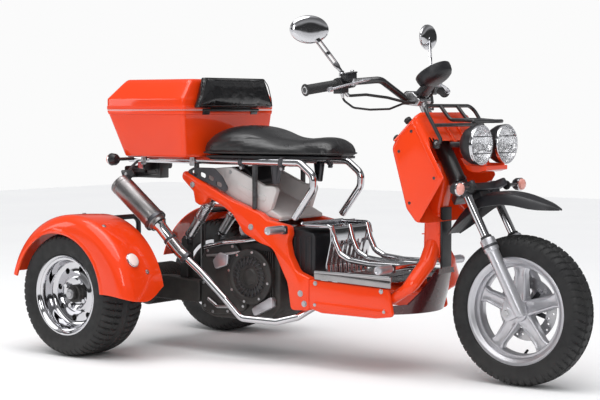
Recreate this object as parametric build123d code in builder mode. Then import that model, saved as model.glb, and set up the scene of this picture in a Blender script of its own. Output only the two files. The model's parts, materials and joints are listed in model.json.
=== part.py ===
from build123d import *
import os
from math import cos, radians, sin

# A motorized trike: a scooter body with one steered wheel in front and two driven
# wheels behind. Millimetres; X forward, Y left, Z up. The origin is on the ground
# under the middle of the whole vehicle. Tables give X from the rear axle, and at()
# and side_plane() carry them into this frame.

os.makedirs("parts", exist_ok=True)

# Driving dimensions ---------------------------------------------------------------
WHEELBASE = 1510
REAR_TRACK = 788
RAKE = 28.5                     # steering axis, degrees back from upright
AXIS_BACK = 224                 # how far the axis's point at the lower yoke lies behind the axle
AXIS_X, AXIS_Z = WHEELBASE - AXIS_BACK, 610
FRONT_TYRE_R, FRONT_TYRE_W = 233, 108
REAR_TYRE_R, REAR_TYRE_W = 215, 188
CLEAR = 0.3                     # between pieces that rest on each other
FRAME_Y, FRAME_T = 138, 36      # middle and thickness of the frame's two pressed sides

# Rear fenders: a band of a round drum, one over each rear wheel.
FENDER_R = 290                  # outside of the drum
FENDER_X, FENDER_Z = 15, 200    # its centre
FENDER_ROOM = 12                # beside the tyre, outside
FENDER_OUTER_Y = REAR_TRACK / 2 + REAR_TYRE_W / 2 + FENDER_ROOM
FENDER_INNER_Y = REAR_TRACK / 2 - REAR_TYRE_W / 2
FENDER_WALL = 5
ARCH_R, ARCH_X, ARCH_Z = 215, -30, 212
FENDER_FOOT_Z = 202             # the front end of the fender's skirt
FENDER_TAIL_Z = 281             # the rear end of the fender's skirt

# The frame's origin is under the middle of the box from the fenders' tails to the
# front of the front tyre.
TAIL_X = FENDER_X - (FENDER_R**2 - (FENDER_TAIL_Z - FENDER_Z)**2)**0.5
REAR_AXLE_X = -(TAIL_X + WHEELBASE + FRONT_TYRE_R) / 2


def at(x, y, z):
    """A point measured from the middle of the rear axle, up from the ground."""
    return Vector(x + REAR_AXLE_X, y, z)


def side_plane(y):
    """The upright plane at y, drawn with X forward and Z up; it faces right."""
    return Plane(origin=(REAR_AXLE_X, y, 0), x_dir=(1, 0, 0), z_dir=(0, -1, 0))


def across_plane(x, y, z):
    """The plane across the vehicle at a point, drawn with Y left and Z up."""
    return Plane(origin=at(x, y, z), x_dir=(0, 1, 0), z_dir=(1, 0, 0))


def level_plane(z):
    """The level plane at height z, drawn with X from the rear axle and Y left."""
    return Plane(origin=(REAR_AXLE_X, 0, z), x_dir=(1, 0, 0), z_dir=(0, 0, 1))


def along(start, end, x_dir=None):
    """The plane at start that faces end; both are table points."""
    start, end = at(*start), at(*end)
    return Plane(origin=start, x_dir=x_dir, z_dir=(end - start).normalized())


def span(start, end):
    """The distance between two table points."""
    return (Vector(*end) - Vector(*start)).length


def tube_along(points, radius, bend):
    """Adds a round tube of straight runs joined by arcs to the part being made."""
    with BuildLine() as path:
        FilletPolyline(*[at(*point) for point in points], radius=bend)
    with BuildSketch(Plane(origin=path.line @ 0, z_dir=path.line % 0)) as section:
        Circle(radius)
    sweep(sections=section.sketch, path=path.line)


def rod(start, end, radius, mode=Mode.ADD):
    """Adds or cuts a straight round bar between two table points."""
    with BuildSketch(along(start, end)) as section:
        Circle(radius)
    extrude(section.sketch, amount=span(start, end), mode=mode)


def slab(outline, y, thickness, mode=Mode.ADD):
    """Adds a plate with a side outline, thickness wide to both sides of y."""
    with BuildSketch(side_plane(y)) as section:
        with BuildLine():
            Polyline(*outline, close=True)
        make_face()
    extrude(section.sketch, amount=thickness / 2, both=True, mode=mode)


def mirrored(point, side):
    """A table point of the left side, carried to the side named by +1 or -1."""
    return (point[0], point[1] * side, point[2])


def fore(*points):
    """Table points of the front body, given with X from the steering axis's point."""
    return tuple((AXIS_X + point[0], *point[1:]) for point in points)


rake_sin, rake_cos = sin(radians(RAKE)), cos(radians(RAKE))
STEER_AXIS = (-rake_sin, 0, rake_cos)


def steered(forward, left, up):
    """A table point given ahead of, left of and up along the steering axis."""
    return (AXIS_X + forward * rake_cos - up * rake_sin, left,
            AXIS_Z + forward * rake_sin + up * rake_cos)


def steer_plane(up):
    """The plane square to the steering axis, at a height along it."""
    return Plane(origin=at(*steered(0, 0, up)), x_dir=(rake_cos, 0, rake_sin),
                 z_dir=STEER_AXIS)


def save(builder, name):
    """Labels a finished piece and writes it."""
    builder.part.label = name
    export_step(builder.part, f"parts/{name}.step")


SIDES = (("left", 1), ("right", -1))

# Wheels ---------------------------------------------------------------------------
# A tyre's section stands on the axle's line: bead, flange, sidewall, shoulder.
FRONT_BEAD_R, FRONT_FLANGE_R, FRONT_BEAD_W = 158, 166, FRONT_TYRE_W - 32
REAR_BEAD_R, REAR_FLANGE_R, REAR_BEAD_W = 128, 137, REAR_TYRE_W - 28
FLANGE_T = 4
BARREL_T = 6
REAR_Y = REAR_TRACK / 2
AXLE_R = 8                      # front axle
SHAFT_R = 14                    # rear axle shafts
RUNNING = 0.4                   # between a hub and what turns in it


def tyre_ring(centre, tyre_r, tyre_w, bead_r, flange_r, bead_w):
    """Adds a tyre turned about the axle's line through a table point."""
    bead, wide, shoulder = bead_w / 2, tyre_w / 2, tyre_w * 0.42
    wall_r = bead_r + (tyre_r - bead_r) * 0.55
    shoulder_r = tyre_r - (tyre_r - bead_r) * 0.14
    with BuildSketch(across_plane(*centre)) as section:
        with BuildLine():
            Polyline((-bead, flange_r + 1), (-bead, bead_r), (bead, bead_r), (bead, flange_r + 1))
            ThreePointArc((bead, flange_r + 1), (wide, wall_r), (shoulder, shoulder_r))
            ThreePointArc((shoulder, shoulder_r), (0, tyre_r), (-shoulder, shoulder_r))
            ThreePointArc((-shoulder, shoulder_r), (-wide, wall_r), (-bead, flange_r + 1))
        make_face()
    revolve(section.sketch, axis=Axis(at(*centre), (0, 1, 0)))


def rim_ring(centre, bead_r, flange_r, bead_w):
    """Adds the rim's barrel with its two flanges, under the tyre's beads."""
    outer, bead = bead_r - CLEAR, bead_w / 2 + CLEAR
    with BuildSketch(across_plane(*centre)) as section:
        with BuildLine():
            Polyline((-bead, outer), (bead, outer), (bead, flange_r), (bead + FLANGE_T, flange_r),
                     (bead + FLANGE_T, outer - BARREL_T), (-bead - FLANGE_T, outer - BARREL_T),
                     (-bead - FLANGE_T, flange_r), (-bead, flange_r), close=True)
        make_face()
    revolve(section.sketch, axis=Axis(at(*centre), (0, 1, 0)))


def wheel_disc(centre, inner_y, outer_y, radius, mode=Mode.ADD):
    """Adds or cuts a round slice about the axle's line, between two offsets from it."""
    x, y, z = centre
    with BuildSketch(side_plane(y + outer_y)) as section:
        with Locations((x, z)):
            Circle(radius)
    extrude(section.sketch, amount=outer_y - inner_y, mode=mode)


front_centre = (WHEELBASE, 0, FRONT_TYRE_R)
with BuildPart() as front_tyre:
    tyre_ring(front_centre, FRONT_TYRE_R, FRONT_TYRE_W, FRONT_BEAD_R, FRONT_FLANGE_R, FRONT_BEAD_W)
save(front_tyre, "front_tyre")

SPOKES = 5
FRONT_HUB_R, FRONT_HUB_W = 34, 62
SPOKE_W, SPOKE_T = 34, 26
with BuildPart() as front_rim:
    rim_ring(front_centre, FRONT_BEAD_R, FRONT_FLANGE_R, FRONT_BEAD_W)
    wheel_disc(front_centre, -FRONT_HUB_W / 2, FRONT_HUB_W / 2, FRONT_HUB_R)
    with BuildSketch(side_plane(0)) as spokes:
        with Locations((WHEELBASE, FRONT_TYRE_R)):
            with PolarLocations(0, SPOKES, start_angle=90):
                with Locations((FRONT_BEAD_R / 2, 0)):
                    Rectangle(FRONT_BEAD_R - BARREL_T, SPOKE_W)
    extrude(spokes.sketch, amount=SPOKE_T / 2, both=True)
    wheel_disc(front_centre, -FRONT_HUB_W, FRONT_HUB_W, AXLE_R + RUNNING, mode=Mode.SUBTRACT)
save(front_rim, "front_rim")

DISC_R, DISC_HOLE_R, DISC_T = 100, 66, 4
DISC_Y = 40                     # the brake disc's place, left of the wheel's middle
with BuildPart() as front_brake_disc:
    wheel_disc(front_centre, DISC_Y - DISC_T / 2, DISC_Y + DISC_T / 2, DISC_R)
    wheel_disc(front_centre, FRONT_HUB_W / 2 + CLEAR, DISC_Y + DISC_T / 2, FRONT_HUB_R)
    wheel_disc(front_centre, 0, FRONT_HUB_W, AXLE_R + RUNNING, mode=Mode.SUBTRACT)
save(front_brake_disc, "front_brake_disc")

DISH_Y = 12                     # the rear wheel's disc, outward of the wheel's middle
DISH_T = 8
REAR_HUB_R, REAR_HUB_W = 38, 60
DISH_HOLES, DISH_HOLE_R, DISH_HOLE_PCD = 5, 17, 160
for side_name, side in SIDES:
    rear_centre = (0, side * REAR_Y, REAR_TYRE_R)
    with BuildPart() as rear_tyre:
        tyre_ring(rear_centre, REAR_TYRE_R, REAR_TYRE_W, REAR_BEAD_R, REAR_FLANGE_R, REAR_BEAD_W)
    save(rear_tyre, f"rear_{side_name}_tyre")

    dish_low, dish_high = sorted((side * DISH_Y, side * (DISH_Y + DISH_T)))
    with BuildPart() as rear_rim:
        rim_ring(rear_centre, REAR_BEAD_R, REAR_FLANGE_R, REAR_BEAD_W)
        wheel_disc(rear_centre, dish_low, dish_high, REAR_BEAD_R - BARREL_T / 2)
        wheel_disc(rear_centre, side * DISH_Y - REAR_HUB_W / 2, side * DISH_Y + REAR_HUB_W / 2, REAR_HUB_R)
        wheel_disc(rear_centre, -REAR_TYRE_W, REAR_TYRE_W, SHAFT_R + RUNNING, mode=Mode.SUBTRACT)
        with BuildSketch(side_plane(side * REAR_Y)) as dish_holes:
            with Locations((0, REAR_TYRE_R)):
                with PolarLocations(DISH_HOLE_PCD / 2, DISH_HOLES, start_angle=90):
                    Circle(DISH_HOLE_R)
        extrude(dish_holes.sketch, amount=REAR_TYRE_W / 2, both=True, mode=Mode.SUBTRACT)
    save(rear_rim, f"rear_{side_name}_rim")

# Rear axle, engine and exhaust ----------------------------------------------------
HOUSING_R = 36
HOUSING_END_Y = REAR_Y + DISH_Y - REAR_HUB_W / 2 - 14
SHAFT_END_Y = REAR_Y + DISH_Y + REAR_HUB_W / 2 + 8
ARM_Y, ARM_W = 100, 44          # the two swing arms, ahead of the axle
ARM_TOP_Z = 262
EAR_T = 10                      # the ears that carry the shocks
ENGINE_X0, ENGINE_X1 = 300, 655
ENGINE_Z0, ENGINE_Z1 = 130, 415
ENGINE_W = 270
arm_outline = ((0, 180), (ENGINE_X0 - CLEAR, 175), (ENGINE_X0 - CLEAR, 250), (150, ARM_TOP_Z), (0, 250))

SHOCK_TOP, SHOCK_FOOT = (331, 88, 542), (214, 88, 389)
SHOCK_R, SHOCK_ROD_R, SHOCK_EYE_R = 27, 9, 15
SHOCK_EYE_W, SHOCK_PIN_R = 24, 7

with BuildPart() as rear_axle:
    rod((0, -HOUSING_END_Y, REAR_TYRE_R), (0, HOUSING_END_Y, REAR_TYRE_R), HOUSING_R)
    rod((0, -SHAFT_END_Y, REAR_TYRE_R), (0, SHAFT_END_Y, REAR_TYRE_R), SHAFT_R)
    for side_name, side in SIDES:
        slab(arm_outline, side * ARM_Y, ARM_W)
        x, y, z = mirrored(SHOCK_FOOT, side)
        ear_y = y + side * (SHOCK_EYE_W / 2 + 1 + EAR_T / 2)
        slab(((x - 55, 240), (x + 25, 240), (x + 16, z + 12), (x - 16, z + 12)), ear_y, EAR_T)
        rod((x, y - side * SHOCK_EYE_W / 2, z), (x, ear_y, z), SHOCK_PIN_R)
save(rear_axle, "rear_axle")

with BuildPart() as rear_shocks:
    for side_name, side in SIDES:
        top, foot = mirrored(SHOCK_TOP, side), mirrored(SHOCK_FOOT, side)
        low = tuple(f + (t - f) * 0.16 for f, t in zip(foot, top))
        high = tuple(f + (t - f) * 0.84 for f, t in zip(foot, top))
        rod(foot, top, SHOCK_ROD_R)
        rod(low, high, SHOCK_R)
        for x, y, z in (foot, top):
            rod((x, y - SHOCK_EYE_W / 2, z), (x, y + SHOCK_EYE_W / 2, z), SHOCK_EYE_R)
        for x, y, z in (foot, top):
            with BuildSketch(side_plane(0)) as eye:
                with Locations((x, z)):
                    Circle(SHOCK_PIN_R + RUNNING)
            extrude(eye.sketch, amount=FRAME_Y, both=True, mode=Mode.SUBTRACT)
save(rear_shocks, "rear_shocks")

FAN_X, FAN_Z, FAN_R, FAN_T = 542, 284, 95, 18
with BuildPart() as engine_block:
    slab(((ENGINE_X0, 150), (360, ENGINE_Z0), (600, ENGINE_Z0), (ENGINE_X1, 180), (ENGINE_X1, 350),
          (600, 400), (450, ENGINE_Z1), (330, 380), (ENGINE_X0, 330)), 0, ENGINE_W)
    with BuildSketch(side_plane(-ENGINE_W / 2)) as fan_cover:
        with Locations((FAN_X, FAN_Z)):
            Circle(FAN_R)
    extrude(fan_cover.sketch, amount=FAN_T)
save(engine_block, "engine_block")

MUFFLER_TOP, MUFFLER_FOOT = (87, -300, 598), (256, -280, 456)
MUFFLER_R, MUFFLER_NECK_R = 38, 31
PIPE_R = 12
OUTLET_R, OUTLET_DEPTH = 14, 30
MUFFLER_END = (300, -268, 404)  # where the cone meets the pipe
muffler_length = span(MUFFLER_TOP, MUFFLER_FOOT)
with BuildPart() as muffler:
    with BuildSketch(along(MUFFLER_TOP, MUFFLER_FOOT)) as can:
        Circle(MUFFLER_R)
    extrude(can.sketch, amount=muffler_length * 0.62)
    with BuildSketch(along(MUFFLER_TOP, MUFFLER_FOOT).offset(muffler_length * 0.62)) as neck:
        Circle(MUFFLER_NECK_R)
    extrude(neck.sketch, amount=muffler_length * 0.38)
    with BuildSketch(along(MUFFLER_TOP, MUFFLER_FOOT).offset(muffler_length)) as cone_top:
        Circle(MUFFLER_NECK_R)
    with BuildSketch(Plane(origin=at(*MUFFLER_END), z_dir=at(*MUFFLER_END) - at(*MUFFLER_FOOT))) as cone_foot:
        Circle(PIPE_R + 3)
    loft(sections=[cone_top.sketch, cone_foot.sketch])
    with BuildSketch(along(MUFFLER_TOP, MUFFLER_FOOT)) as outlet:
        Circle(OUTLET_R)
    extrude(outlet.sketch, amount=OUTLET_DEPTH, mode=Mode.SUBTRACT)
save(muffler, "muffler")

PIPE_ROUTE = ((300.4, -268, 403.4), (333, -258, 365), (406, -240, 303), (500, -220, 213), (555, -200, 150),
              (675, -165, 144), (740, -130, 162), (785, -85, 200), (770, -60, 262), (ENGINE_X1 + CLEAR, -60, 262))
with BuildPart() as exhaust_pipe:
    tube_along(PIPE_ROUTE, PIPE_R, 22)
save(exhaust_pipe, "exhaust_pipe")

# Rear fenders ---------------------------------------------------------------------
FENDER_ROUND = 42               # the drum's outer edge
fender_width = FENDER_OUTER_Y - FENDER_INNER_Y
for side_name, side in SIDES:
    outer, inner = side * FENDER_OUTER_Y, side * FENDER_INNER_Y
    middle = (outer + inner) / 2
    crown = side * (FENDER_OUTER_Y - FENDER_ROUND)
    skin = side * (FENDER_OUTER_Y - FENDER_WALL)
    slant = FENDER_ROUND * (1 - cos(radians(45)))
    inner_slant = (FENDER_ROUND - FENDER_WALL) * (1 - cos(radians(45)))
    inside_r = FENDER_R - FENDER_WALL
    with BuildPart() as rear_fender:
        with BuildSketch(across_plane(FENDER_X, 0, FENDER_Z)) as wall:
            with BuildLine():
                Polyline((crown, inside_r), (inner, inside_r), (inner, FENDER_R), (crown, FENDER_R))
                ThreePointArc((crown, FENDER_R), (outer - side * slant, FENDER_R - slant),
                              (outer, FENDER_R - FENDER_ROUND))
                Polyline((outer, FENDER_R - FENDER_ROUND), (outer, fender_width / 4),
                         (skin, fender_width / 4), (skin, FENDER_R - FENDER_ROUND))
                ThreePointArc((skin, FENDER_R - FENDER_ROUND), (skin - side * inner_slant, inside_r - inner_slant),
                              (crown, inside_r))
            make_face()
        revolve(wall.sketch, axis=Axis(at(FENDER_X, 0, FENDER_Z), (0, 1, 0)))
        slab(((-400, -200), (400, -200), (400, FENDER_FOOT_Z), (120, FENDER_FOOT_Z), (-200, FENDER_TAIL_Z),
              (-400, FENDER_TAIL_Z)), middle, fender_width + 20, mode=Mode.SUBTRACT)
        with BuildSketch(side_plane(outer)) as arch:
            with Locations((ARCH_X, ARCH_Z)):
                Circle(ARCH_R)
        extrude(arch.sketch, amount=FENDER_ROUND + FENDER_WALL, both=True, mode=Mode.SUBTRACT)
    save(rear_fender, f"rear_fender_{side_name}")

# The lamps stand on the fenders' front shoulders, square to the drum.
LAMP_ANGLE = 30                 # around the drum, up from level
LAMP_Y, LAMP_R, LAMP_T = FENDER_OUTER_Y - 75, 25, 9
with BuildPart() as fender_lamps:
    for side_name, side in SIDES:
        turn = radians(LAMP_ANGLE)
        seat_r, cap_r = FENDER_R + CLEAR, FENDER_R + CLEAR + LAMP_T
        base = (FENDER_X + seat_r * cos(turn), side * LAMP_Y, FENDER_Z + seat_r * sin(turn))
        cap = (FENDER_X + cap_r * cos(turn), side * LAMP_Y, FENDER_Z + cap_r * sin(turn))
        rod(base, cap, LAMP_R)
save(fender_lamps, "fender_lamps")

# Main frame -----------------------------------------------------------------------
RAIL_Y, RAIL_Z, RAIL_R = 135, 674, 11
DECK_Z = 307
FRAME_NOSE_X = 806
frame_outline = ((255, 640), (464, 545), (595, 503), (630, 481), (718, 465), (724, 420), (748, 347),
                 (768, 314), (FRAME_NOSE_X, 298), (FRAME_NOSE_X, 190), (727, 186), (714, 274), (651, 388), (595, 402),
                 (526, 432), (478, 493), (430, 522), (368, 548), (354, 528), (331, 518), (308, 528), (300, 566),
                 (246, 612))
for side_name, side in SIDES:
    with BuildPart() as frame_side:
        slab(frame_outline, side * FRAME_Y, FRAME_T)
    save(frame_side, f"frame_side_{side_name}")

# Posts under the seat rails: X, the height of their foot on the frame's top edge.
POSTS = ((300, 624), (560, 517.2))
POST_R = 9
CROSS_TUBES = ((300, 590), (560, 455), (737, 205))
CROSS_R = 12
frame_inside = FRAME_Y - FRAME_T / 2 - CLEAR
with BuildPart() as frame_braces:
    for x, z in CROSS_TUBES:
        rod((x, -frame_inside, z), (x, frame_inside, z), CROSS_R)
    rod((SHOCK_TOP[0], -frame_inside, SHOCK_TOP[2]), (SHOCK_TOP[0], frame_inside, SHOCK_TOP[2]), SHOCK_PIN_R)
    for x, foot_z in POSTS:
        for side_name, side in SIDES:
            rod((x, side * RAIL_Y, foot_z + CLEAR), (x, side * RAIL_Y, RAIL_Z - RAIL_R - CLEAR), POST_R)
save(frame_braces, "frame_braces")

# The seat rails run back under the case and bend down to the frame in front.
RAIL_ROUTE = ((-20, RAIL_Y, RAIL_Z), (752, RAIL_Y, RAIL_Z), (808, RAIL_Y, 632), (806, RAIL_Y, 588),
              (728, RAIL_Y, 478 + RAIL_R))
with BuildPart() as seat_rails:
    for side_name, side in SIDES:
        tube_along([mirrored(point, side) for point in RAIL_ROUTE], RAIL_R, 32)
save(seat_rails, "seat_rails")

# Cross bars between the rails, under the case, with stays down to the fenders.
rail_inside = RAIL_Y - RAIL_R - CLEAR
CARRIER_X = (20, 310)
CARRIER_R = 8
STAY_X, STAY_Y, STAY_R = 60, 175, 9
stay_top_z = FENDER_Z + ((inside_r - STAY_R - CLEAR)**2 - (STAY_X - FENDER_X)**2)**0.5
with BuildPart() as case_carrier:
    for x in CARRIER_X:
        rod((x, -rail_inside, RAIL_Z), (x, rail_inside, RAIL_Z), CARRIER_R)
    rod((CARRIER_X[0], 0, RAIL_Z), (CARRIER_X[1], 0, RAIL_Z), CARRIER_R - 1.5)
save(case_carrier, "case_carrier")

with BuildPart() as fender_stays:
    for side_name, side in SIDES:
        tube_along([mirrored(point, side) for point in (
            (STAY_X, ARM_Y + ARM_W / 2 + CLEAR, 225), (STAY_X, STAY_Y, 225), (STAY_X, STAY_Y, stay_top_z),
            (STAY_X, FENDER_OUTER_Y - 60, stay_top_z))], STAY_R, 30)
save(fender_stays, "fender_stays")

# Seat and its pan -----------------------------------------------------------------
PAN_Z0 = RAIL_Z + RAIL_R + CLEAR
PAN_T = 8
SEAT_X0, SEAT_X1 = 352, 856
seat_z0 = PAN_Z0 + PAN_T + CLEAR
# The seat's plan, one half: X, half width.
SEAT_PLAN = ((342, 135), (358, 175), (520, 172), (640, 136), (760, 108), (830, 85), (856, 40))
SEAT_SIDE = ((342, seat_z0), (342, 755), (368, 782), (445, 793), (530, 782), (620, 752), (700, 747),
             (780, 755), (825, 745), (856, 712), (850, seat_z0))


def plan_block(plan, z_low, z_high, shrink=0):
    """Adds a block with a mirrored plan outline between two heights."""
    with BuildSketch(level_plane(z_low)) as section:
        with BuildLine():
            Polyline(*[(x, w - shrink) for x, w in plan], *[(x, shrink - w) for x, w in reversed(plan)],
                     close=True)
        make_face()
    extrude(section.sketch, amount=z_high - z_low)


with BuildPart() as seat:
    plan_block(SEAT_PLAN, seat_z0, 800)
    slab(SEAT_SIDE, 0, 400, mode=Mode.INTERSECT)
save(seat, "seat")

with BuildPart() as seat_pan:
    plan_block(SEAT_PLAN[1:-1], PAN_Z0, PAN_Z0 + PAN_T, shrink=12)
save(seat_pan, "seat_pan")

# Grey panel and electrics box between the seat and the frame.
with BuildPart() as underseat_panel:
    slab(((330, 645), (420, 652), (500, 560), (600, 520), (660, 492), (660, 478), (600, 490), (464, 533),
          (345, 588)), 0, 2 * frame_inside)
save(underseat_panel, "underseat_panel")

# Top case -------------------------------------------------------------------------
CASE_WALL = 4
CASE_FLOOR_Z = PAN_Z0
SEAM_Z, BEVEL_Z, LID_TOP_Z = 847, 888, 955
SEAM_GAP = 1.2
CASE_FRONT_X = 338
HINGE_X, HINGE_Z = CASE_FRONT_X + 7, SEAM_Z + SEAM_GAP / 2
HINGE_R, HINGE_W, HINGE_INNER_Y = 5, 300, 110
# Levels of the case: height, rear X, front X, half width.
TUB_LEVELS = ((CASE_FLOOR_Z, 40, 325, 225), (SEAM_Z, -27, CASE_FRONT_X, 247))
LID_LEVELS = ((SEAM_Z + SEAM_GAP, -27, CASE_FRONT_X, 247), (BEVEL_Z, -27, CASE_FRONT_X, 247),
              (LID_TOP_Z, 20, CASE_FRONT_X - 6, 195))
CASE_CORNER = 28


def case_block(levels, inset, mode=Mode.ADD):
    """Adds or cuts a block lofted through the case's levels, drawn in by an inset."""
    sections = []
    for z, rear, front, half_width in levels:
        with BuildSketch(level_plane(z)) as level:
            with Locations(((rear + front) / 2, 0)):
                RectangleRounded(front - rear - 2 * inset, 2 * (half_width - inset), CASE_CORNER - inset)
        sections.append(level.sketch)
    loft(sections=sections, ruled=True, mode=mode)


def hinge_barrel(y_low, y_high):
    """Adds a round barrel of the lid's hinge between two places across the case."""
    with BuildSketch(side_plane(y_high)) as barrel:
        with Locations((HINGE_X, HINGE_Z)):
            Circle(HINGE_R)
    extrude(barrel.sketch, amount=y_high - y_low)


def raised(levels, first, last):
    """The same levels with the first and last heights moved."""
    return ((levels[0][0] + first, *levels[0][1:]), *levels[1:-1], (levels[-1][0] + last, *levels[-1][1:]))


with BuildPart() as case_tub:
    case_block(TUB_LEVELS, 0)
    case_block(raised(TUB_LEVELS, CASE_WALL, 0.5), CASE_WALL, mode=Mode.SUBTRACT)
    for side_name, side in SIDES:
        low, high = sorted((side * (HINGE_INNER_Y + 0.5), side * HINGE_W / 2))
        hinge_barrel(low, high)
        slab(((CASE_FRONT_X - 2.5, HINGE_Z - 16), (HINGE_X, HINGE_Z - HINGE_R), (HINGE_X, HINGE_Z - 2),
              (CASE_FRONT_X - 2.5, HINGE_Z - 2)), (low + high) / 2, high - low)
save(case_tub, "case_tub")

with BuildPart() as case_lid:
    case_block(LID_LEVELS, 0)
    case_block(raised(LID_LEVELS, -0.5, -CASE_WALL), CASE_WALL, mode=Mode.SUBTRACT)
    hinge_barrel(-HINGE_INNER_Y, HINGE_INNER_Y)
    slab(((CASE_FRONT_X - 2, HINGE_Z + 2), (HINGE_X, HINGE_Z + 2), (HINGE_X, HINGE_Z + HINGE_R),
          (CASE_FRONT_X - 2, HINGE_Z + HINGE_R + 2)), 0, 2 * HINGE_INNER_Y)
save(case_lid, "case_lid")

PAD_T = 40
PAD_X = CASE_FRONT_X + CLEAR
with BuildPart() as backrest_pad:
    with BuildSketch(level_plane(HINGE_Z + HINGE_R + 5)) as pad_low:
        with Locations((PAD_X + PAD_T / 2, 0)):
            Rectangle(PAD_T, 2 * 213)
    with BuildSketch(level_plane(962)) as pad_high:
        with Locations((PAD_X + PAD_T / 2 - 4, 0)):
            Rectangle(PAD_T - 8, 2 * 169)
    loft(sections=[pad_low.sketch, pad_high.sketch])
save(backrest_pad, "backrest_pad")

# Tail light, plate bracket and rear signals ---------------------------------------
TAIL_LAMP_X, TAIL_LAMP_W, TAIL_LAMP_H, TAIL_LAMP_T = -45, 150, 44, 40
TAIL_LAMP_Z = 656
lamp_foot_z = TAIL_LAMP_Z - TAIL_LAMP_H / 2 - CLEAR
with BuildPart() as tail_light:
    with BuildSketch(across_plane(TAIL_LAMP_X, 0, TAIL_LAMP_Z)) as lamp:
        RectangleRounded(TAIL_LAMP_W, TAIL_LAMP_H, 10)
    extrude(lamp.sketch, amount=TAIL_LAMP_T)
save(tail_light, "tail_light")

PLATE_W, PLATE_H, PLATE_T = 176, 44, 3
PLATE_X, PLATE_Z = -90, 622
PLATE_HOLES, PLATE_HOLE_R = 146, 3.2
with BuildPart() as plate_bracket:
    with BuildSketch(across_plane(PLATE_X, 0, PLATE_Z)) as plate:
        Rectangle(PLATE_W, PLATE_H)
        with GridLocations(PLATE_HOLES, 1, 2, 1):
            Circle(PLATE_HOLE_R, mode=Mode.SUBTRACT)
    extrude(plate.sketch, amount=PLATE_T)
    slab(((PLATE_X + PLATE_T, 600), (CARRIER_X[0] + 8, 600), (CARRIER_X[0] + 8, RAIL_Z - CARRIER_R - CLEAR),
          (CARRIER_X[0] - 8, RAIL_Z - CARRIER_R - CLEAR), (CARRIER_X[0] - 8, 616), (-10, 616), (-10, lamp_foot_z),
          (-35, lamp_foot_z), (-35, 616), (PLATE_X + PLATE_T, 616)), 0, 50)
save(plate_bracket, "plate_bracket")

SIGNAL_R, SIGNAL_LENGTH = 22, 46
with BuildPart() as rear_signals:
    for side_name, side in SIDES:
        inner_y = RAIL_Y + RAIL_R + CLEAR
        rod((10, side * inner_y, RAIL_Z), (10, side * 235, RAIL_Z), 6)
        rod((10 - SIGNAL_LENGTH / 2, side * 250, RAIL_Z), (10 + SIGNAL_LENGTH / 2, side * 250, RAIL_Z), SIGNAL_R)
save(rear_signals, "rear_signals")

# Floor ----------------------------------------------------------------------------
with BuildPart() as battery_box:
    slab(((662, 300), (800, 300), (800, 440), (740, 455), (662, 455)), 0, 2 * frame_inside)
save(battery_box, "battery_box")

PLATFORM_Z, PLATFORM_T = 462, 4
PLATFORM_W = 230
TUBE_R = 9
TUBE_Z = 352
FLOOR_END_X = AXIS_X - 136      # the front end of the tubes over the deck
END_BAR_Y = 165                 # its end bar reaches out to the front foot pegs
with BuildPart() as chrome_platform:
    platform_top = PLATFORM_Z + PLATFORM_T
    slab(((745, PLATFORM_Z), (870, PLATFORM_Z), (870, platform_top), (745, platform_top)), 0, PLATFORM_W)
    kick_foot = DECK_Z + CLEAR
    slab(((866, PLATFORM_Z), (866, 420), (848, 340), (850, kick_foot), (846, kick_foot), (844, 340),
          (862, 420), (862, PLATFORM_Z)), 0, PLATFORM_W)
    for y in (-100, 0, 100):
        tube_along(((866, y, 449), (905, y, 420), (940, y, 368), (1020, y, TUBE_Z), (FLOOR_END_X, y, TUBE_Z)),
                   TUBE_R, 26)
    end_bar_x = FLOOR_END_X - TUBE_R
    rod((end_bar_x, -END_BAR_Y, TUBE_Z), (end_bar_x, END_BAR_Y, TUBE_Z), TUBE_R)
save(chrome_platform, "chrome_platform")

DECK_X0, DECK_X1, DECK_W, DECK_T = 837, FLOOR_END_X - 11, 340, 3
DECK_EDGE = 18                  # the deck's upturned sides
deck_under = DECK_Z - DECK_T - CLEAR
with BuildPart() as floor_deck:
    slab(((DECK_X0, DECK_Z - DECK_T), (DECK_X1, DECK_Z - DECK_T), (DECK_X1, DECK_Z), (DECK_X0, DECK_Z)), 0, DECK_W)
    for side_name, side in SIDES:
        slab(((DECK_X0, DECK_Z), (DECK_X1, DECK_Z), (DECK_X1, DECK_Z + DECK_EDGE), (DECK_X0, DECK_Z + DECK_EDGE)),
             side * (DECK_W / 2 - DECK_T / 2), DECK_T)
save(floor_deck, "floor_deck")

SIDE_PANEL_Y, SIDE_PANEL_T = 158, 14
panel_outline = ((812, 296), *fore((-161, 285), (-142, 198), (-210, 188)), (862, 188), (812, 200))
with BuildPart() as side_panels:
    for side_name, side in SIDES:
        slab(panel_outline, side * SIDE_PANEL_Y, SIDE_PANEL_T)
save(side_panels, "side_panels")

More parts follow.
